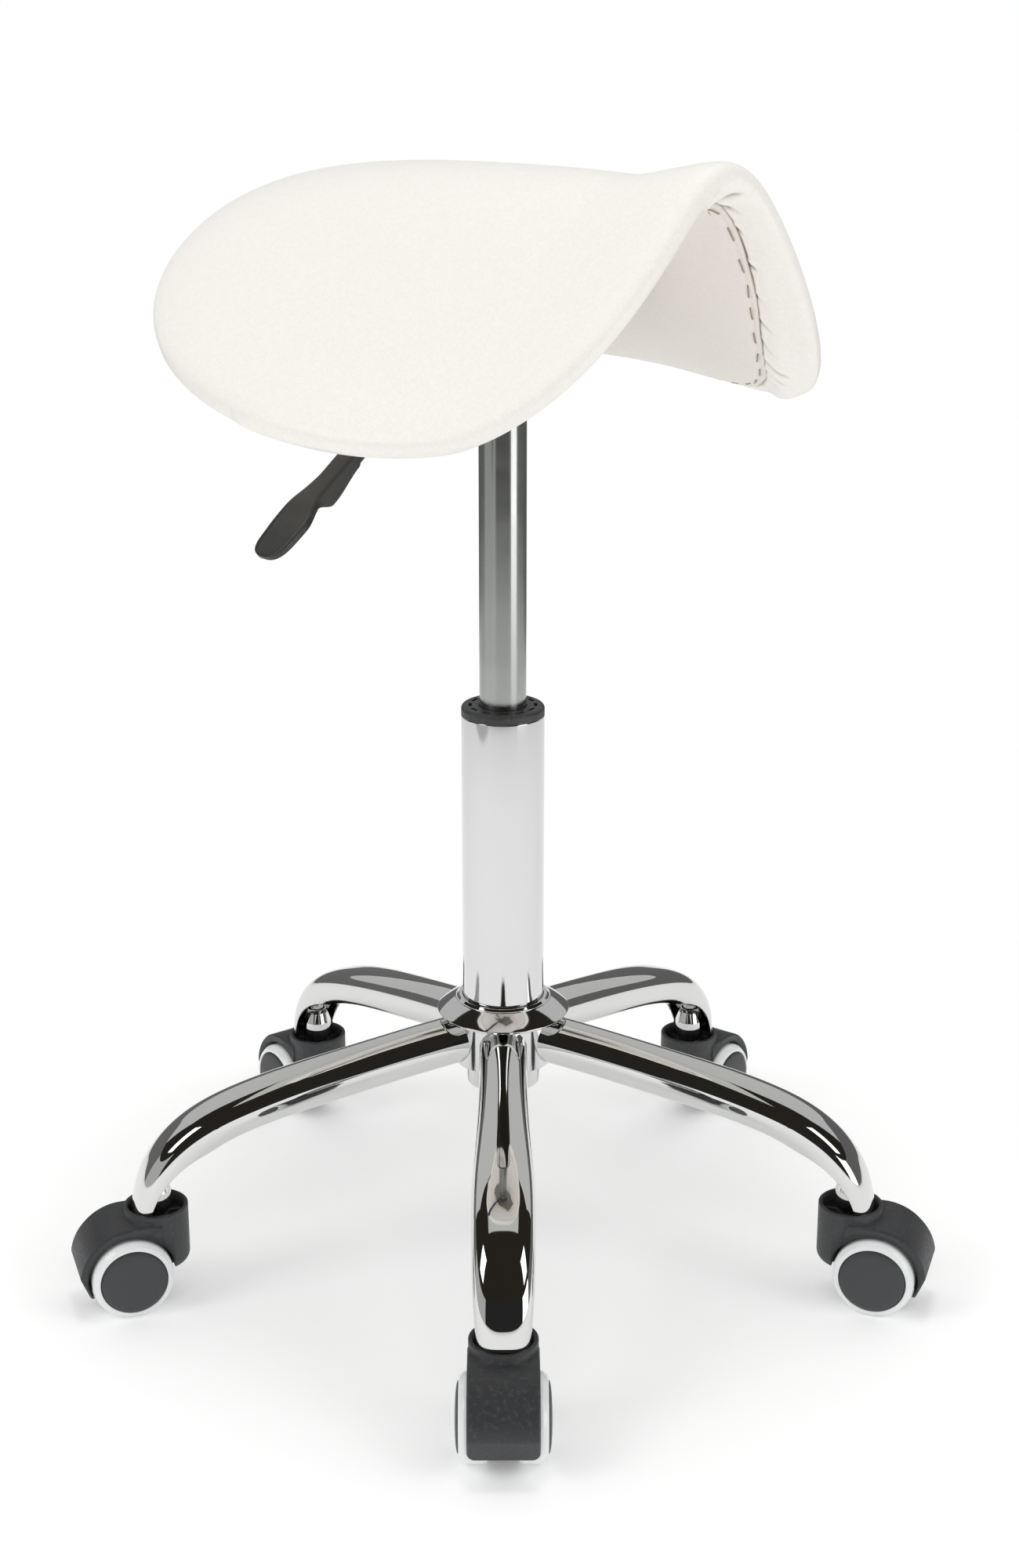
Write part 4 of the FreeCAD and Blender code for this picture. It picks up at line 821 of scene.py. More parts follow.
            shape = (np.exp(-off / fold.wide)
                     - 0.4 * np.exp(-((off - 2.8 * fold.wide) / (1.5 * fold.wide)) ** 2))
            depth += fold.deep * shape * (1 - t) ** 0.7 * smooth_step(-3.0, -2.0, away)
        return depth

    def columns(self) -> Array:
        """Angles of the cover's columns.

        Returns:
            Even steps once round, closer together between fine_from and fine_to.
        """
        fine = int(self.around * self.fine_share)
        low, high = math.radians(self.fine_from), math.radians(self.fine_to)
        return np.concatenate([np.linspace(low, high, fine, endpoint=False),
                               np.linspace(high, low + TURN, self.around - fine, endpoint=False)])

    def cover(self) -> bpy.types.Object:
        """Closed skin: over the top, round the edge, under to the seam and in behind the lining.

        The upper half is a superellipse of edge_power.  Under the edge the skin stands out by Gaussians of
        the distance from the seam, dips into the seam and carries the furrows of creases.

        Returns:
            The cover.
        """
        form = self.form
        angle = self.columns()
        bend = np.linspace(math.pi / 2, 0, self.top_rows)
        power = self.edge_power
        reach = (np.abs(np.cos(bend)) ** power + np.abs(np.sin(bend)) ** power) ** (-1 / power)
        top_ratio = np.clip(np.cos(bend) * reach, 0, 1)
        top_swell = np.clip(np.sin(bend) * reach, 0, 1)
        top = form.skin(angle[None], top_ratio[:, None], top_swell[:, None] + 0 * angle[None])
        seam_at = self.seam_ratio(angle)
        reach_mm = np.hypot(*form.outline(angle))
        # rows under the edge run from the outline to the seam and crowd together near the seam
        step = np.linspace(0, 1, self.under_rows + 1)[1:, None]
        ratio = 1 - (1 - seam_at) * (0.35 * step + 0.65 * np.sin(step * math.pi / 2) ** 1.2)
        away = (ratio - seam_at) * reach_mm
        degrees = np.degrees(angle)
        wide = self.roll_wide
        roll = (self.roll * np.exp(-((away - self.roll_out) / wide) ** 2)
                - self.valley * np.exp(-(away / self.valley_wide) ** 2)
                + sum(size * np.exp(-((degrees - at) / spread) ** 2 - ((away - out) / wide) ** 2)
                      for size, at, spread, out in self.tip_roll))
        furrow = self.creases(angle[None] + 0 * away, away)
        lift = roll - furrow
        under = form.skin(angle[None] + 0 * ratio, ratio, -self.swell_at(ratio), lift)
        # behind the lining the skin sinks by tuck_lift and closes at the middle
        tuck_ratio = seam_at * np.array([0.985, 0.95, 0.8, 0.5, 0.0])[:, None]
        tuck_lift = np.array([-3.2, -3.6, -3.6, -3.6, -3.6])[:, None] + 0 * tuck_ratio
        tuck = form.skin(angle[None] + 0 * tuck_ratio, tuck_ratio, -self.swell_at(tuck_ratio), tuck_lift)
        # the fold attribute is 1 at the bottom of furrows and in the seam and 0.9 behind the lining: there
        # the colour is darkened as painted shade
        deep = np.clip((furrow - 0.3) / 2.2, 0, 1) + 0.75 * np.exp(-(away / 0.9) ** 2)
        fold = np.concatenate([np.zeros(top.shape[:2]), np.clip(deep, 0, 1), np.full(tuck.shape[:2], 0.9)])
        return grid_piece("seat_cover_skin", np.concatenate([top, under, tuck]), fold=fold)

    def board(self) -> bpy.types.Object:
        """Moulded plywood shell inside the pad.

        Returns:
            A slab that follows the underside, from about 5 to 13 mm inside it.
        """
        form = self.form
        angle = np.linspace(0, TURN, 240, endpoint=False)
        share = np.concatenate([np.linspace(0, 1, 40), np.ones(5), np.linspace(1, 0, 40)])[:, None]
        lift = np.concatenate([np.full(40, -4.4), np.linspace(-5.0, -12.8, 5), np.full(40, -13.4)])[:, None]
        edge = self.seam_ratio(angle) - self.board_in / np.hypot(*form.outline(angle))
        ratio = share * edge
        return grid_piece("seat_shell_board", form.skin(angle[None] + 0 * ratio, ratio,
                                                        -self.swell_at(ratio), lift + 0 * ratio))

    def lining(self) -> bpy.types.Object:
        """Sheet under the seat with its edge folded in.

        It hangs below the pad's skin by sag, is pressed in along the staples, and its edge wanders by a sum
        of sines of the angle.

        Returns:
            A closed slab with a round edge.
        """
        form, middle, half = self.form, self.sheet_at, self.sheet_half
        angle = np.linspace(0, TURN, 540, endpoint=False)
        seam_at, reach_mm = self.seam_ratio(angle), np.hypot(*form.outline(angle))
        generator = np.random.default_rng(11)
        wander = sum(generator.uniform(0.05, 0.3) * np.sin(n * angle + generator.uniform(0, TURN))
                     for n in (3, 7, 11, 16, 23, 31))
        depth = np.concatenate([[reach_mm.max()], np.linspace(150, 12, 40),
                                np.linspace(10, half, 14)])[:, None]
        ratio = np.maximum(seam_at - (depth + wander) / reach_mm, 0)
        ratio[0] = 0
        pressed = 0.9 * np.exp(-((depth - self.staple_in) / 1.8) ** 2)
        sag = read_between(self.sag, angle, np.arange(-12, 13, 3))
        sag = sag * smooth_step(4.0, 45.0, depth) * (1 - smooth_step(85.0, 140.0, depth))
        outer = form.skin(angle[None] + 0 * ratio, ratio, -self.swell_at(ratio),
                          middle + half - pressed + sag)
        bend = np.linspace(0, math.pi, 9)[1:-1, None]
        edge_depth = half - 1.3 * np.sin(bend)
        edge_ratio = seam_at - (edge_depth + wander) / reach_mm
        edge = form.skin(angle[None] + 0 * edge_ratio, edge_ratio, -self.swell_at(edge_ratio),
                         middle + half * np.cos(bend) + 0 * edge_ratio)
        inner = form.skin(angle[None] + 0 * ratio, ratio, -self.swell_at(ratio), middle - half + sag)[::-1]
        return grid_piece("seat_lining", np.concatenate([outer, edge, inner]))

    def staples(self) -> bpy.types.Object:
        """Row of wire staples along the fold.

        Returns:
            One mesh; each staple is a round wire along the seam with its ends bent in.
        """
        form = self.form
        fine, lengths = self.seam_scale()
        count = int(lengths[-1] / self.pitch)
        generator = np.random.default_rng(3)
        where = (np.arange(count) + 0.5 + generator.uniform(-0.12, 0.12, count)) * self.pitch
        middle = np.append(where, where[0] + 2.0)
        inset = self.staple_in + np.append(generator.uniform(-0.5, 0.5, count), 3.2)
        skew = np.append(generator.uniform(-0.09, 0.09, count), 0.12)
        # places along a staple and how far the wire stands out there: its ends go into the cloth
        t = np.array([-1, -0.98, -0.9, -0.8, -0.4, 0, 0.4, 0.8, 0.9, 0.98, 1])
        sink = np.array([-2.4, -1.2, -0.25, 0, 0, 0, 0, 0, -0.25, -1.2, -2.4]) + 0.45
        place = middle[:, None] + t * self.crown / 2
        angle = np.interp(np.mod(place, lengths[-1]), lengths, fine)
        depth = inset[:, None] + skew[:, None] * t * self.crown
        ratio = self.seam_ratio(angle) - depth / np.hypot(*form.outline(angle))
        line = form.skin(angle, ratio, -self.swell_at(ratio), sink + 0 * ratio)
        out = form.skin(angle, ratio, -self.swell_at(ratio), sink + 1.0) - line
        out /= np.linalg.norm(out, axis=-1, keepdims=True)
        ahead = np.gradient(line, axis=1)
        ahead[:, 0] = ahead[:, -1] = ahead[:, 5]
        across = np.cross(ahead, out)
        across /= np.linalg.norm(across, axis=-1, keepdims=True)
        turn = np.linspace(0, TURN, 8, endpoint=False)
        ring = (line[:, :, None] + across[:, :, None] * (np.cos(turn) * self.wire / 2 * MM)[:, None]
                + out[:, :, None] * (np.sin(turn) * self.wire / 3 * MM)[:, None])
        faces: list[list[int]] = []
        for number in range(len(ring)):
            first = number * len(t) * 8
            faces += grid_faces(len(t), 8, False, True, first).tolist()
            faces += [list(range(first + 7, first - 1, -1)),
                      list(range(first + (len(t) - 1) * 8, first + len(t) * 8))]
        return new_mesh("seat_staples", ring, faces)

    def build(self) -> None:
        """Make and dress the seat."""
        cover = settle(self.cover(), VINYL, "seat", "white_vinyl", "seat_cover", "seat_foam")
        settle(self.lining(), LINING, "seat", "lining_vinyl", "underside_panel")
        settle(self.board(), PLYWOOD, "seat", "plywood", "seat_shell")
        settle(self.staples(), STAPLE, "seat", "zinc_steel")


# ------------------------------------------------------------------ column
@dataclass
class Column:
    """Turned and drawn parts round the gas lift, in millimetres."""

    tube: float = 25.0           # radii of the column tube, above and at the foot of its taper
    taper: float = 22.5
    tube_wall: float = 1.6
    tube_top: float = 353.5
    tube_low: float = 114.0
    taper_top: float = 172.0
    lift: float = 14.0           # radii of the lift cylinder: below its cone, at its top, of its bore
    lift_neck: float = 13.0
    lift_bore: float = 12.42
    lift_pin: float = 3.3        # radius of the hole for the release pin
    lift_low: float = 292.0
    lift_cone: float = 540.0
    lift_top: float = 582.0
    hub: float = 30.5
    hub_low: float = 129.0
    hub_neck: float = 160.3      # the flange starts here

    def build(self) -> None:
        """Make and dress the hub, the tube and the lift cylinder."""
        inner, wall = self.tube - self.tube_wall, self.tube_wall
        tube = turned("column_tube_shell", [
            (self.taper, self.tube_low, 0.5), (self.tube, self.taper_top, 300.0),
            (self.tube, self.tube_top, 0.7), (inner, self.tube_top, 0.3),
            (inner, self.taper_top, 300.0), (self.taper - wall, self.tube_low + 3.5, 0.3),
            (0.0, self.tube_low + 3.5), (0.0, self.tube_low)], 192, 12)
        settle(tube, CHROME_TURNED, "base", "chrome", "column_tube")
        lift = turned("lift_cylinder_shell", [
            (self.lift, self.lift_low, 0.6), (self.lift, self.lift_cone, 60.0),
            (self.lift_neck, self.lift_top, 1.2), (self.lift_pin, self.lift_top, 0.3),
            (self.lift_pin, self.lift_top - 6.0), (11.4, self.lift_top - 7.0),
            (self.lift_bore, self.lift_cone), (self.lift_bore, self.lift_low)], 160, 8)
        settle(lift, SATIN_STEEL, "seat", "satin_steel", "lift_cylinder")
        hub = turned("hub_ring", [
            (24.3, self.hub_low), (self.hub, self.hub_low, 1.2), (self.hub, self.hub_neck, 2.0),
            (40.0, 161.4, 0.6), (41.0, 163.0, 0.5), (34.0, 168.4, 60.0), (28.6, 171.0, 1.2),
            (27.2, 172.6, 0.7), (25.2, 172.6, 0.3), (24.9, 168.0, 0.5)], 192, 8)
        settle(hub, CHROME_TURNED, "base", "chrome", "hub")


# ------------------------------------------------------------------ legs
@dataclass
class Legs:
    """Pressed hollow legs: an ellipse carried along a drooping path, open below the tip."""

    wall: float = 2.0
    mouth: tuple[float, float, float] = (178.0, 50.0, 51.0)     # reach, height, radius
    stem: float = 222.6          # reach of the castor's stem
    square: float = 2.7          # power of the section's squared oval at the bend
    rows: int = 170
    columns: int = 120
    # reach, height, half width, half height, slope below the horizontal
    sections: tuple[tuple[float, ...], ...] = (
        (24.0, 146.0, 14.6, 14.5, 7.0), (60.0, 140.4, 14.6, 14.5, 9.5),
        (100.0, 133.2, 15.3, 14.0, 10.5), (135.0, 126.6, 16.8, 12.9, 13.0),
        (165.0, 119.3, 18.0, 12.2, 18.0), (190.0, 109.5, 18.0, 12.2, 28.0),
        (208.5, 95.5, 17.5, 12.5, 46.0), (220.3, 77.5, 16.6, 12.4, 66.0),
        (225.6, 58.5, 14.8, 11.8, 79.0))

    def wall_points(self, knots: Array, wall: float) -> tuple[Array, Array]:
        """One wall of the leg.

        A point is centre + a * sin(t)^(2/n) * sideways - b * cos(t)^(2/n) * upward, with t from the
        underside and powers that keep the sign; n grows from round near the hub to squarer at the bend.
        Where the mouth's cylinder reaches the wall, t starts where |point - mouth axis| equals its radius.

        Args:
            knots: rows of sections: reach, height, half width, half height, slope.
            wall: distance inwards from the outer face, mm.

        Returns:
            Points, shape (rows, columns, 3), and the opening angle of each row.
        """
        reach, height, wide, tall, slope = knots.T
        wide, tall, slope = wide - wall, tall - wall, np.radians(slope)
        up_x, up_z = np.sin(slope), np.cos(slope)
        dx, dz = reach - self.mouth[0], height - self.mouth[1]
        lean = dx * up_x + dz * up_z
        inside = lean ** 2 - (dx ** 2 + dz ** 2 - self.mouth[2] ** 2)
        cosine = np.clip((lean - np.sqrt(np.maximum(inside, 0))) / tall, -1, 1)
        power = 2.15 + (self.square - 2.15) * smooth_step(60.0, 160.0, reach)
        opening = np.where(inside > 0, np.arccos(signed_power(cosine, power / 2)), 0.0)
        part = np.linspace(0, 1, self.columns)[None]
        t = opening[:, None] + (TURN - 2 * opening[:, None]) * part
        side = wide[:, None] * signed_power(np.sin(t), 2 / power[:, None])
        rise = -tall[:, None] * signed_power(np.cos(t), 2 / power[:, None])
        return np.stack([reach[:, None] + rise * up_x[:, None], side,
                         height[:, None] + rise * up_z[:, None]], -1), opening

    def shell(self) -> bpy.types.Object:
        """One leg along +X with its two walls, the edges of its mouth and its open tip.

        Returns:
            The leg's mesh, without its socket.
        """
        knots = bent_smoothly(np.array(self.sections), self.rows)
        outer, opening = self.wall_points(knots, 0.0)
        inner, _ = self.wall_points(knots, self.wall)
        rows, columns = self.rows, self.columns
        size = rows * columns
        faces = [grid_faces(rows, columns, False, False),
                 grid_faces(rows, columns, False, False, size)]
        row = np.arange(rows - 1)
        row = row[np.maximum(opening[:-1], opening[1:]) > 0]
        for column in (0, columns - 1):
            first = row * columns + column
            faces.append(np.stack([first, first + columns, first + columns + size, first + size], -1))
        for end in (0, rows - 1):
            first = end * columns + np.arange(columns - 1)
            faces.append(np.stack([first, first + 1, first + 1 + size, first + size], -1))
        return new_mesh("leg_shell", np.concatenate([outer, inner]) * MM, np.concatenate(faces).tolist())

    def sleeve(self) -> bpy.types.Object:
        """Welded socket of the castor stem, with the fillet of its weld.

        Returns:
            The turned socket, at its place along +X.
        """
        upright = turned("leg_sleeve", [
            (5.5, 61.0, 0.4), (9.5, 61.0, 0.8), (9.6, 72.6, 1.5), (7.6, 79.5, 2.0),
            (6.5, 82.0, 0.8), (5.5, 82.0, 0.3)], 64, 5)
        socket = copy_at(upright, "leg_socket", lambda p: p + np.array([self.stem * MM, 0, 0]))
        bpy.data.objects.remove(upright)
        return socket

    def build(self) -> None:
        """Make one leg and turn copies of it round the column."""
        whole = join("leg_master", [self.shell(), self.sleeve()])
        for number in range(SPOKES):
            angle = spoke_angle(number)
            leg = copy_at(whole, f"leg_{number + 1}_pressing", lambda p: turn_about_z(p, angle))
            settle(leg, CHROME, "base", "chrome", f"leg_{number + 1}")
        bpy.data.objects.remove(whole)


# ------------------------------------------------------------------ castors
@dataclass
class Castors:
    """Twin-wheel castors: turned nylon wheel centres with soft treads."""

    axle_out: float = 241.6      # from the column's axis
    axle_up: float = 25.0
    face: float = 24.9           # the wheel's outer face, from the castor's middle plane
    dome: float = 2.0            # height of the disc's dome
    hood_from: float = 252.0     # the fender outside this reach is shaped
    hood_bend: float = 29.0      # and below this height
    hood_tip: float = 10.8       # where the CAD fender ends
    hood_low: float = 13.6       # where the moulding ends
    hood_half: float = 20.0      # half its width
    corner: float = 5.0          # radius of its lower corners

    def core(self) -> bpy.types.Object:
        """Wheel centre turned about Z: domed disc, drum and hub.

        Returns:
            The master of the ten wheel centres.
        """
        return turned("core_master", [
            (4.1, 22.6), (4.1, 8.2), (7.5, 8.2), (7.5, 21.0, 1.0), (18.2, 21.0, 1.0), (18.2, 8.4),
            (20.4, 8.4), (20.4, self.face - 1.3, 0.3), (19.6, self.face - 0.1, 0.7)]
            + [(19.6 * math.cos(a), self.face - 0.1 + self.dome * math.sin(a) ** 0.8)
               for a in np.linspace(0.12, math.pi / 2, 14)[:-1]]
            + [(0.0, self.face + self.dome - 0.1), (0.0, 22.6)], 128, 8)

    def tread(self) -> bpy.types.Object:
        """Soft tread turned about Z, with rounded shoulders and a lip round the disc.

        Returns:
            The master of the ten treads.
        """
        return turned("tread_master", [
            (20.45, 8.4, 0.3), (24.2, 8.4, 1.2), (25.0, 11.5, 3.5), (25.0, 21.2, 4.5),
            (22.6, 24.6, 2.4), (20.45, 24.7, 0.4)], 128, 8)

    def hood(self, node: bpy.types.Object, name: str, angle: float) -> bpy.types.Object:
        """Copy of a moulded hood with its lower corners rounded.

        In the castor's own frame the fender below hood_bend is shortened to hood_low.  There its half
        width w follows a quarter circle: w = full - r + sqrt(r^2 - (r - h)^2) at a height h below r.

        Args:
            node: the hood's CAD node, which stays as it is.
            name: name of the copy.
            angle: the leg's direction in degrees.

        Returns:
            The rounded copy.
        """
        shape = bmesh.new()
        shape.from_mesh(node.data)
        shape.transform(Matrix.Rotation(-math.radians(angle), 4, "Z") @ node.matrix_world)
        bmesh.ops.remove_doubles(shape, verts=shape.verts, dist=1e-6)
        squeeze = (self.hood_bend - self.hood_low) / (self.hood_bend - self.hood_tip)
        for part in np.linspace(0.02, 1.0, 9) ** 1.6:
            level = self.hood_bend - (self.hood_bend - self.hood_low - self.corner * part) / squeeze
            bmesh.ops.bisect_plane(shape, geom=shape.verts[:] + shape.edges[:] + shape.faces[:],
                                   plane_co=(0, 0, level * MM), plane_no=(0, 0, 1))
        mesh = bpy.data.meshes.new(name)
        shape.to_mesh(mesh)
        shape.free()
        flat = np.empty(len(mesh.vertices) * 3)
        mesh.vertices.foreach_get("co", flat)
        x, y, z = (flat.reshape(-1, 3) / MM).T
        outer = (x > self.hood_from) & (z < self.hood_bend)
        z = np.where(outer, self.hood_bend - (self.hood_bend - z) * squeeze, z)
        over = np.clip(self.corner - (z - self.hood_low), 0, self.corner)
        narrow = self.corner - np.sqrt(self.corner ** 2 - over ** 2)
        y = np.where(outer, y * (1 - narrow / self.hood_half), y)
        mesh.vertices.foreach_set("co", turn_about_z(np.stack([x, y, z], -1) * MM, angle).ravel())
        mesh.polygons.foreach_set("use_smooth", np.ones(len(mesh.polygons), bool))
        mesh.set_sharp_from_angle(angle=math.radians(32))
        piece = bpy.data.objects.new(name, mesh)
        bpy.context.scene.collection.objects.link(piece)
        return piece

    def build(self, nodes: dict[str, bpy.types.Object]) -> None:
        """Round the hoods, make one centre and one tread and place copies in every castor.

        Args:
            nodes: the CAD nodes by name.
        """
        masters = {"core": (self.core(), WHEEL_NYLON, "wheel_core"),
                   "tread": (self.tread(), TREAD_PU, "wheel_tread")}
        hub = np.array([self.axle_out, 0, self.axle_up]) * MM
        for number in range(SPOKES):
            angle = spoke_angle(number)
            node = f"caster_{number + 1}_hood"
            settle(self.hood(nodes[node], node + "_moulding", angle), NYLON,
                   f"caster_{number + 1}", "black_nylon", node)
            for side, sign in (("left", 1.0), ("right", -1.0)):
                # the turned axis Z becomes the axle: Y outwards on the left, -Y on the right
                frame = np.array([[1.0, 0, 0], [0, 0, -sign], [0, sign, 0]])
                for part, (master, finish, slot) in masters.items():
                    wheel = copy_at(master, f"caster_{number + 1}_{part}_{side}_turned",
                                    lambda p: turn_about_z(p @ frame + hub, angle))
                    settle(wheel, finish, f"wheel_{number + 1}_{side}", slot,
                           f"caster_{number + 1}_{part}_{side}")
        for master, _, _ in masters.values():
            bpy.data.objects.remove(master)


# ------------------------------------------------------------------ lever
@dataclass
class Lever:
    """Moulded grip of the height lever, drawn along its own axis from the pivot, in millimetres."""

    pivot_out: float = 24.0
    pivot_up: float = 591.0
    drop: float = 37.4           # degrees below the horizontal
    start: float = 52.0          # distances from the pivot
    end: float = 188.5
    tip: float = 13.0            # length of the rounded end
    lip: float = 3.0             # length of the rounded start
    round: float = 2.6           # power of the end's superellipse
    square: float = 7.0          # power of the section's
    neck: float = 7.2            # half widths
    paddle: float = 13.2
    top: float = 4.0
    skirt: float = 8.0           # depth of the neck's side walls below the axis
    blade: float = 1.2           # depth of the paddle below the axis
    turn: float = SEAT_TURN

    def grip(self) -> bpy.types.Object:
        """Grip: a squared oval carried along the lever.

        Its left and right edges, top and bottom are smooth steps of the distance s from the pivot: a deep
        narrow neck that ends in a step, then a wide thin paddle.  All close on a rounded end as
        (1 - t^round)^(1/round), where t runs over the last tip millimetres.

        Returns:
            The grip.
        """
        t = np.linspace(0, 1, 150)
        s = self.start + (self.end - self.start) * (1 - (1 - t) ** 1.4)
        spread = self.paddle - self.neck
        left = self.neck + spread * smooth_step(126, 156, s) - 1.6 * smooth_step(162, 184, s)
        right = self.neck + spread * smooth_step(144, 164, s) - 1.0 * smooth_step(168, 186, s)
        deep = (4.4 + (self.skirt - 4.4) * smooth_step(112.0, 138.0, s)
                - 1.2 * (1 - smooth_step(111.5, 113.0, s))
                - (self.skirt - self.blade) * smooth_step(139.0, 149.0, s))
        tall = self.top - 0.5 * smooth_step(150, 184, s)
        near = np.clip((s - (self.end - self.tip)) / self.tip, 0, 1)
        close = (1 - near ** self.round) ** (1 / self.round)
        close[-1] = 0.0
        lead = np.clip((self.start + self.lip - s) / self.lip, 0, 1)
        close = close * np.sqrt(np.maximum(1 - lead ** 2, 0.05))
        wide, middle = (left + right) / 2 * close, (right - left) / 2
        half = (tall + deep) / 2 * np.sqrt(close)
        level = (tall - deep) / 2
        angle = np.linspace(0, TURN, 96, endpoint=False)[None]
        across = signed_power(np.cos(angle), 2 / self.square)
        upward = signed_power(np.sin(angle), 2 / self.square)
        # the paddle is dished a little inside a raised rim
        dish = 0.8 * (smooth_step(146, 160, s) * close)[:, None] * smooth_step(1.0, 0.78, np.abs(across))
        z = level[:, None] + upward * half[:, None] - dish * (upward > 0.5)
        y = middle[:, None] + across * wide[:, None]
        drop = math.radians(self.drop)
        x = s[:, None] * math.cos(drop) + z * math.sin(drop) + self.pivot_out
        up = -s[:, None] * math.sin(drop) + z * math.cos(drop) + self.pivot_up
        points = turn_about_z(np.stack([x, y, up], -1) * MM, self.turn)
        first = points[:1].mean(axis=1, keepdims=True) + 0 * points[:1]
        return grid_piece("lever_grip_moulding", np.concatenate([first, points]))

    def build(self) -> None:
        """Make and dress the grip."""
        settle(self.grip(), LEVER_ABS, "lever", "lever_plastic", "lever_grip")


# ------------------------------------------------------------------ CAD nodes
FINISH_OF_SLOT = {
    "chrome": CHROME_TURNED, "bright_steel": GROUND_STEEL, "bearing_steel": GROUND_STEEL,
    "spring_steel": SPRING_STEEL, "satin_steel": SATIN_STEEL, "zinc_steel": ZINC_STEEL,
    "black_nylon": NYLON, "bumper_rubber": RUBBER, "beech_block": BEECH, "plywood": PLYWOOD,
    "foam": FOAM, "white_vinyl": VINYL, "lining_vinyl": LINING, "lever_plastic": LEVER_ABS,
    "wheel_core": WHEEL_NYLON, "wheel_tread": TREAD_PU,
}


def dress_nodes(frame: dict[str, Any]) -> None:
    """Give every CAD node the finish of its material slot.

    Args:
        frame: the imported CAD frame.
    """
    slots = {part["node"]: part["material_slot"] for part in frame["record"]["subparts"]}
    for name, node in frame["nodes"].items():
        dress(node, FINISH_OF_SLOT[slots[name]])


# ------------------------------------------------------------------ studio
@dataclass
class Studio:
    """White sweep, dark room round the camera, soft boxes and the camera."""

    white: float = 1.0
    fill: float = 0.60           # the room's even light on the surfaces
    mirror: float = 0.6          # what mirrors see of the far backdrop
    bounce: float = 1.0          # what the white floor sends up
    lift: float = 0.17           # keeps the lit floor at white
    shadow_near: float = 0.32    # metres from the column where the shadow starts to fade
    shadow_far: float = 0.80
    gloss_near: float = 0.8      # the same for the floor that mirrors see
    gloss_far: float = 2.2
    reach: float = 40.0
    side: float = 3.0            # half width of the room
    front: float = 2.2           # dark wall behind the camera
    back: float = 1.6            # the dark sides and ceiling end here
    roof: float = 3.0
    dark: str = "2b2823"
    eye: tuple[float, float, float] = (0.0, -1.41412, 0.79204)
    eye_drop: float = 18.72      # degrees below the horizontal
    eye_yaw: float = -0.16       # degrees
    focal: float = 3158.18 / 2000        # focal length over the height of the view
    rise: float = -8.09 / 2000           # shift of the view, over its height
    sensor_mm: float = 36.0
    # low screens round the stool, seen in the satin lift cylinder: azimuth from and to in degrees, glow
    screen_out: float = 1.35
    screen_low: float = 0.03
    screen_tall: float = 0.5
    screens: tuple[tuple[float, float, float], ...] = (
        (-180, -96, 0.16), (-96, -34, 0.50), (-34, 40, 0.022), (40, 70, 2.6), (70, 180, 0.14))

    def strengths(self, tree: bpy.types.NodeTree, plain: float, mirror: float,
                  seen: float) -> bpy.types.NodeSocket:
        """Brightness by kind of ray.

        Args:
            tree: the node tree.
            plain: what lights matte surfaces.
            mirror: what is seen in mirrors.
            seen: what the camera sees.

        Returns:
            A socket with the brightness.
        """
        path = add_node(tree, "ShaderNodeLightPath").outputs
        first = add_node(tree, "ShaderNodeMath", {"operation": "MULTIPLY_ADD"},
                         {0: path["Is Camera Ray"], 1: seen - plain, 2: plain}).outputs[0]
        return add_node(tree, "ShaderNodeMath", {"operation": "MULTIPLY_ADD"},
                        {0: path["Is Glossy Ray"], 1: mirror - plain, 2: first}).outputs[0]

    def sheet_of(self, name: str, corners: Sequence[Sequence[float]], colour: str, glow: float) -> None:
        """Card of even brightness that only mirrors see.

        Args:
            name: name of the card and its material.
            corners: its corners in order, metres.
            colour: six hex digits.
            glow: brightness, 1 for the colour as it is written.
        """
        card = new_mesh(name, np.array(corners, float), [list(range(len(corners)))])
        material, tree = bare_material(name)
        paint = add_node(tree, "ShaderNodeEmission", {}, {"Color": linear(colour), "Strength": glow})
        add_node(tree, "ShaderNodeOutputMaterial", {}, {"Surface": paint.outputs[0]})
        card.data.materials.append(material)
        card.visible_camera = card.visible_diffuse = card.visible_shadow = False

    def floor(self) -> None:
        """Matte white floor that keeps the shadow; mirrors and the camera see it white."""
        r = self.reach
        ground = new_mesh("studio_floor", np.array([(-r, -r, 0), (r, -r, 0), (r, r, 0), (-r, r, 0)], float),
                          [[0, 1, 2, 3]])
        material, tree = bare_material("studio_floor")
        matte = add_node(tree, "ShaderNodeBsdfDiffuse", {}, {"Color": linear("fcfcfc")})
        lift = add_node(tree, "ShaderNodeEmission", {}, {"Strength": self.lift})
        lit = add_node(tree, "ShaderNodeAddShader", {}, {0: matte.outputs[0], 1: lift.outputs[0]})
        glow = add_node(tree, "ShaderNodeEmission", {},
                        {"Strength": self.strengths(tree, self.bounce, self.mirror, self.white)})
        place = add_node(tree, "ShaderNodeTexCoord").outputs["Object"]
        away = add_node(tree, "ShaderNodeVectorMath", {"operation": "LENGTH"}, {0: place}).outputs["Value"]
        shares = [add_node(tree, "ShaderNodeMapRange", {"interpolation_type": "SMOOTHSTEP"},
                           {0: away, 1: near, 2: far, 3: 1.0, 4: 0.0}).outputs[0]
                  for near, far in ((self.shadow_near, self.shadow_far), (self.gloss_near, self.gloss_far))]
        path = add_node(tree, "ShaderNodeLightPath").outputs
        seen = add_node(tree, "ShaderNodeMix", {},
                        {0: path["Is Camera Ray"], 2: shares[1], 3: shares[0]})
        both = add_node(tree, "ShaderNodeMixShader", {},
                        {0: seen.outputs[0], 1: glow.outputs[0], 2: lit.outputs[0]})
        add_node(tree, "ShaderNodeOutputMaterial", {}, {"Surface": both.outputs[0]})
        ground.data.materials.append(material)

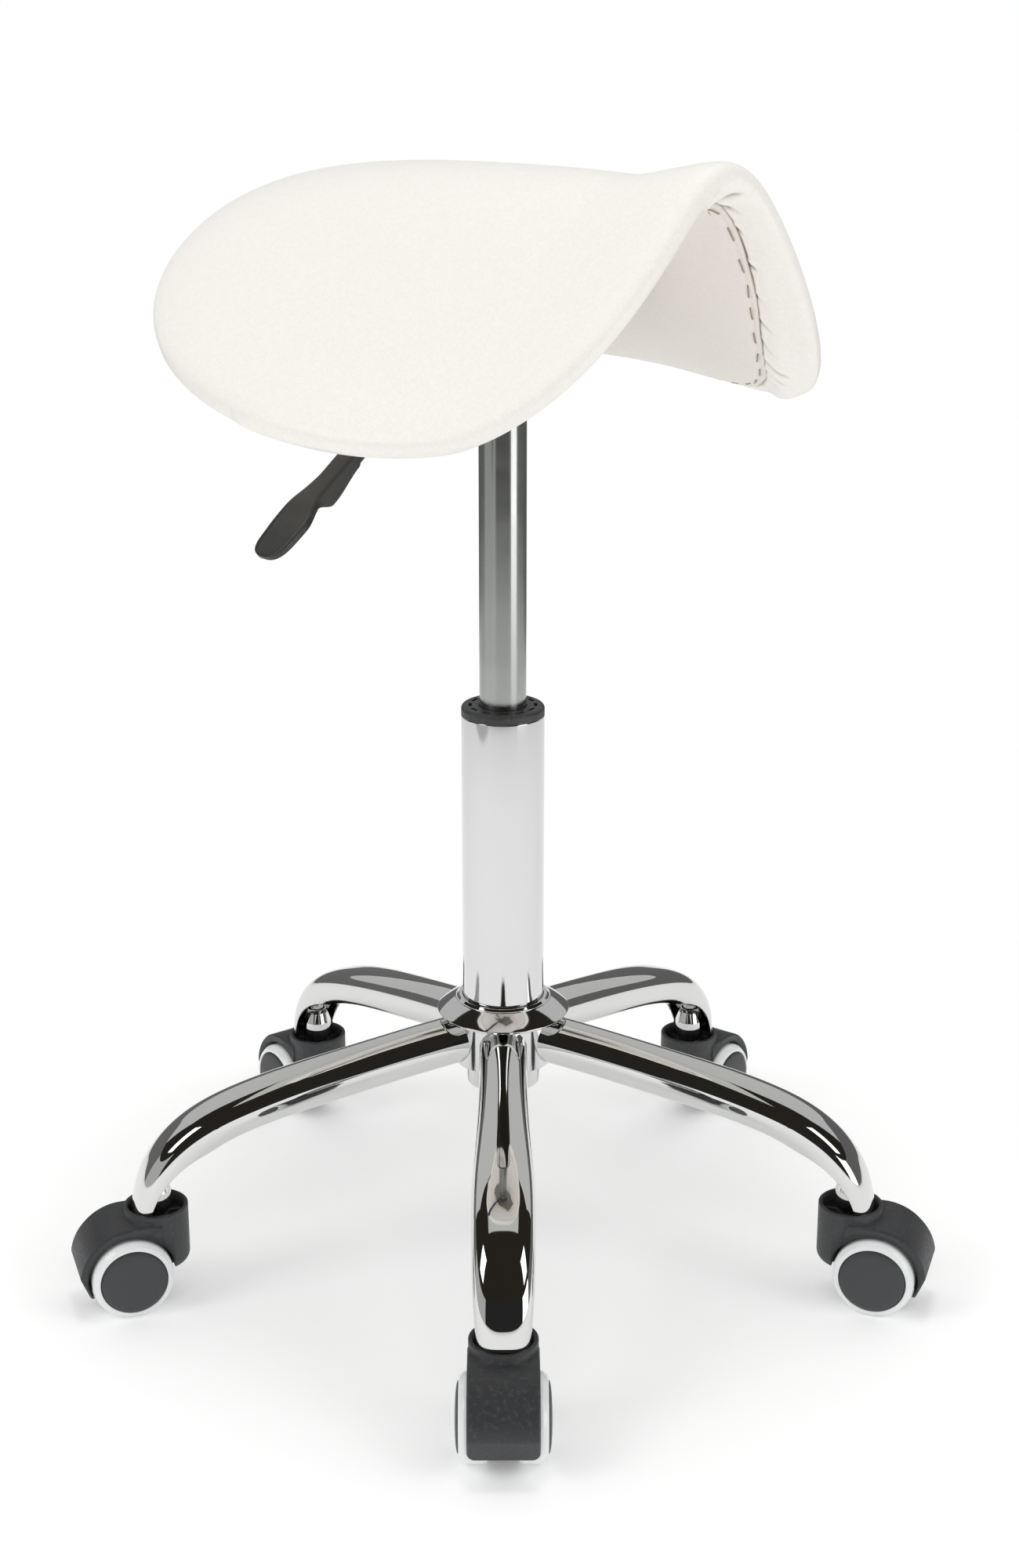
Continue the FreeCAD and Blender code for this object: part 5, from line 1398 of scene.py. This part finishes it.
    def sky(self) -> None:
        """World: white behind everything, a softer even light on the surfaces."""
        world = bpy.data.worlds.new("studio")
        bpy.context.scene.world = world
        world.use_nodes = True
        tree = world.node_tree
        tree.nodes.clear()
        paint = add_node(tree, "ShaderNodeBackground", {}, {
            "Color": (1, 1, 1, 1), "Strength": self.strengths(tree, self.fill, self.mirror, self.white)})
        add_node(tree, "ShaderNodeOutputWorld", {}, {"Surface": paint.outputs[0]})

    def lamp(self, name: str, place: Sequence[float], aim: Sequence[float], size: tuple[float, float],
             power: float, mirrored: bool) -> None:
        """Soft box facing a point.

        Args:
            name: name of the lamp.
            place: where it hangs, metres.
            aim: the point it faces.
            size: width and height, metres.
            power: watts.
            mirrored: whether mirrors see it.
        """
        data = bpy.data.lights.new(name, "AREA")
        data.shape, data.size, data.size_y, data.energy = "RECTANGLE", size[0], size[1], power
        box = bpy.data.objects.new(name, data)
        box.location = place
        box.rotation_euler = (Vector(aim) - Vector(place)).to_track_quat("-Z", "Y").to_euler()
        box.visible_camera = False
        box.visible_glossy = mirrored
        bpy.context.scene.collection.objects.link(box)

    def camera(self) -> None:
        """Camera in front of the stool, looking along +Y and down."""
        data = bpy.data.cameras.new("camera")
        data.sensor_width, data.lens = self.sensor_mm, self.focal * self.sensor_mm
        data.shift_y = self.rise
        eye = bpy.data.objects.new("camera", data)
        eye.location = self.eye
        eye.rotation_euler = (math.radians(90 - self.eye_drop), 0.0, math.radians(self.eye_yaw))
        bpy.context.scene.collection.objects.link(eye)
        bpy.context.scene.camera = eye

    def build(self) -> None:
        """Set the whole studio."""
        bpy.context.scene.view_settings.view_transform = "Standard"
        self.floor()
        self.sky()
        # the unlit room gives bright metal its dark bands; a panel overhead gives it the pale ones
        w, f, b, h, low = self.side, -self.front, self.back, self.roof, 0.02
        self.sheet_of("dark_front", [(-w, f, low), (w, f, low), (w, f, h), (-w, f, h)], self.dark, 1.0)
        self.sheet_of("dark_roof", [(-w, f, h), (w, f, h), (w, b, h), (-w, b, h)], self.dark, 1.0)
        for name, x in (("dark_left", -w), ("dark_right", w)):
            self.sheet_of(name, [(x, f, low), (x, b, low), (x, b, h), (x, f, h)], self.dark, 1.0)
        self.sheet_of("roof_panel", [(-1.0, -0.3, h - 0.1), (1.0, -0.3, h - 0.1), (1.0, 1.5, h - 0.1),
                                     (-1.0, 1.5, h - 0.1)], "f0f0ec", 0.7)
        for number, (start, stop, glow) in enumerate(self.screens):
            turn = np.radians(np.linspace(start, stop, 9))
            foot = np.stack([self.screen_out * np.sin(turn), -self.screen_out * np.cos(turn),
                             0 * turn + self.screen_low], -1)
            top = (foot + (0, 0, self.screen_tall))[::-1]
            self.sheet_of(f"low_screen_{number + 1}", np.concatenate([foot, top]).tolist(), "ffffff", glow)
        # the two side boxes are seen in mirrors; the top and front ones only light
        self.lamp("key_box", (-1.9, -1.0, 1.9), (0, 0, 0.45), (0.9, 1.2), 10.0, True)
        self.lamp("fill_box", (1.9, -1.0, 1.8), (0, 0, 0.4), (0.9, 1.2), 6.0, True)
        self.lamp("top_box", (0.05, 0.1, 2.6), (0, 0, 0.2), (0.7, 0.7), 10.5, False)
        self.lamp("front_box", (0.0, -2.2, 2.0), (0, 0, 0.5), (1.6, 1.2), 6.5, False)
        self.camera()


def main() -> None:
    """Build the stool and its studio."""
    logging.basicConfig(level=logging.INFO, format="%(message)s")
    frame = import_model()
    dress_nodes(frame)
    Studio().build()
    Seat().build()
    Column().build()
    Legs().build()
    Castors().build(frame["nodes"])
    Lever().build()


if __name__ == "__main__":
    main()
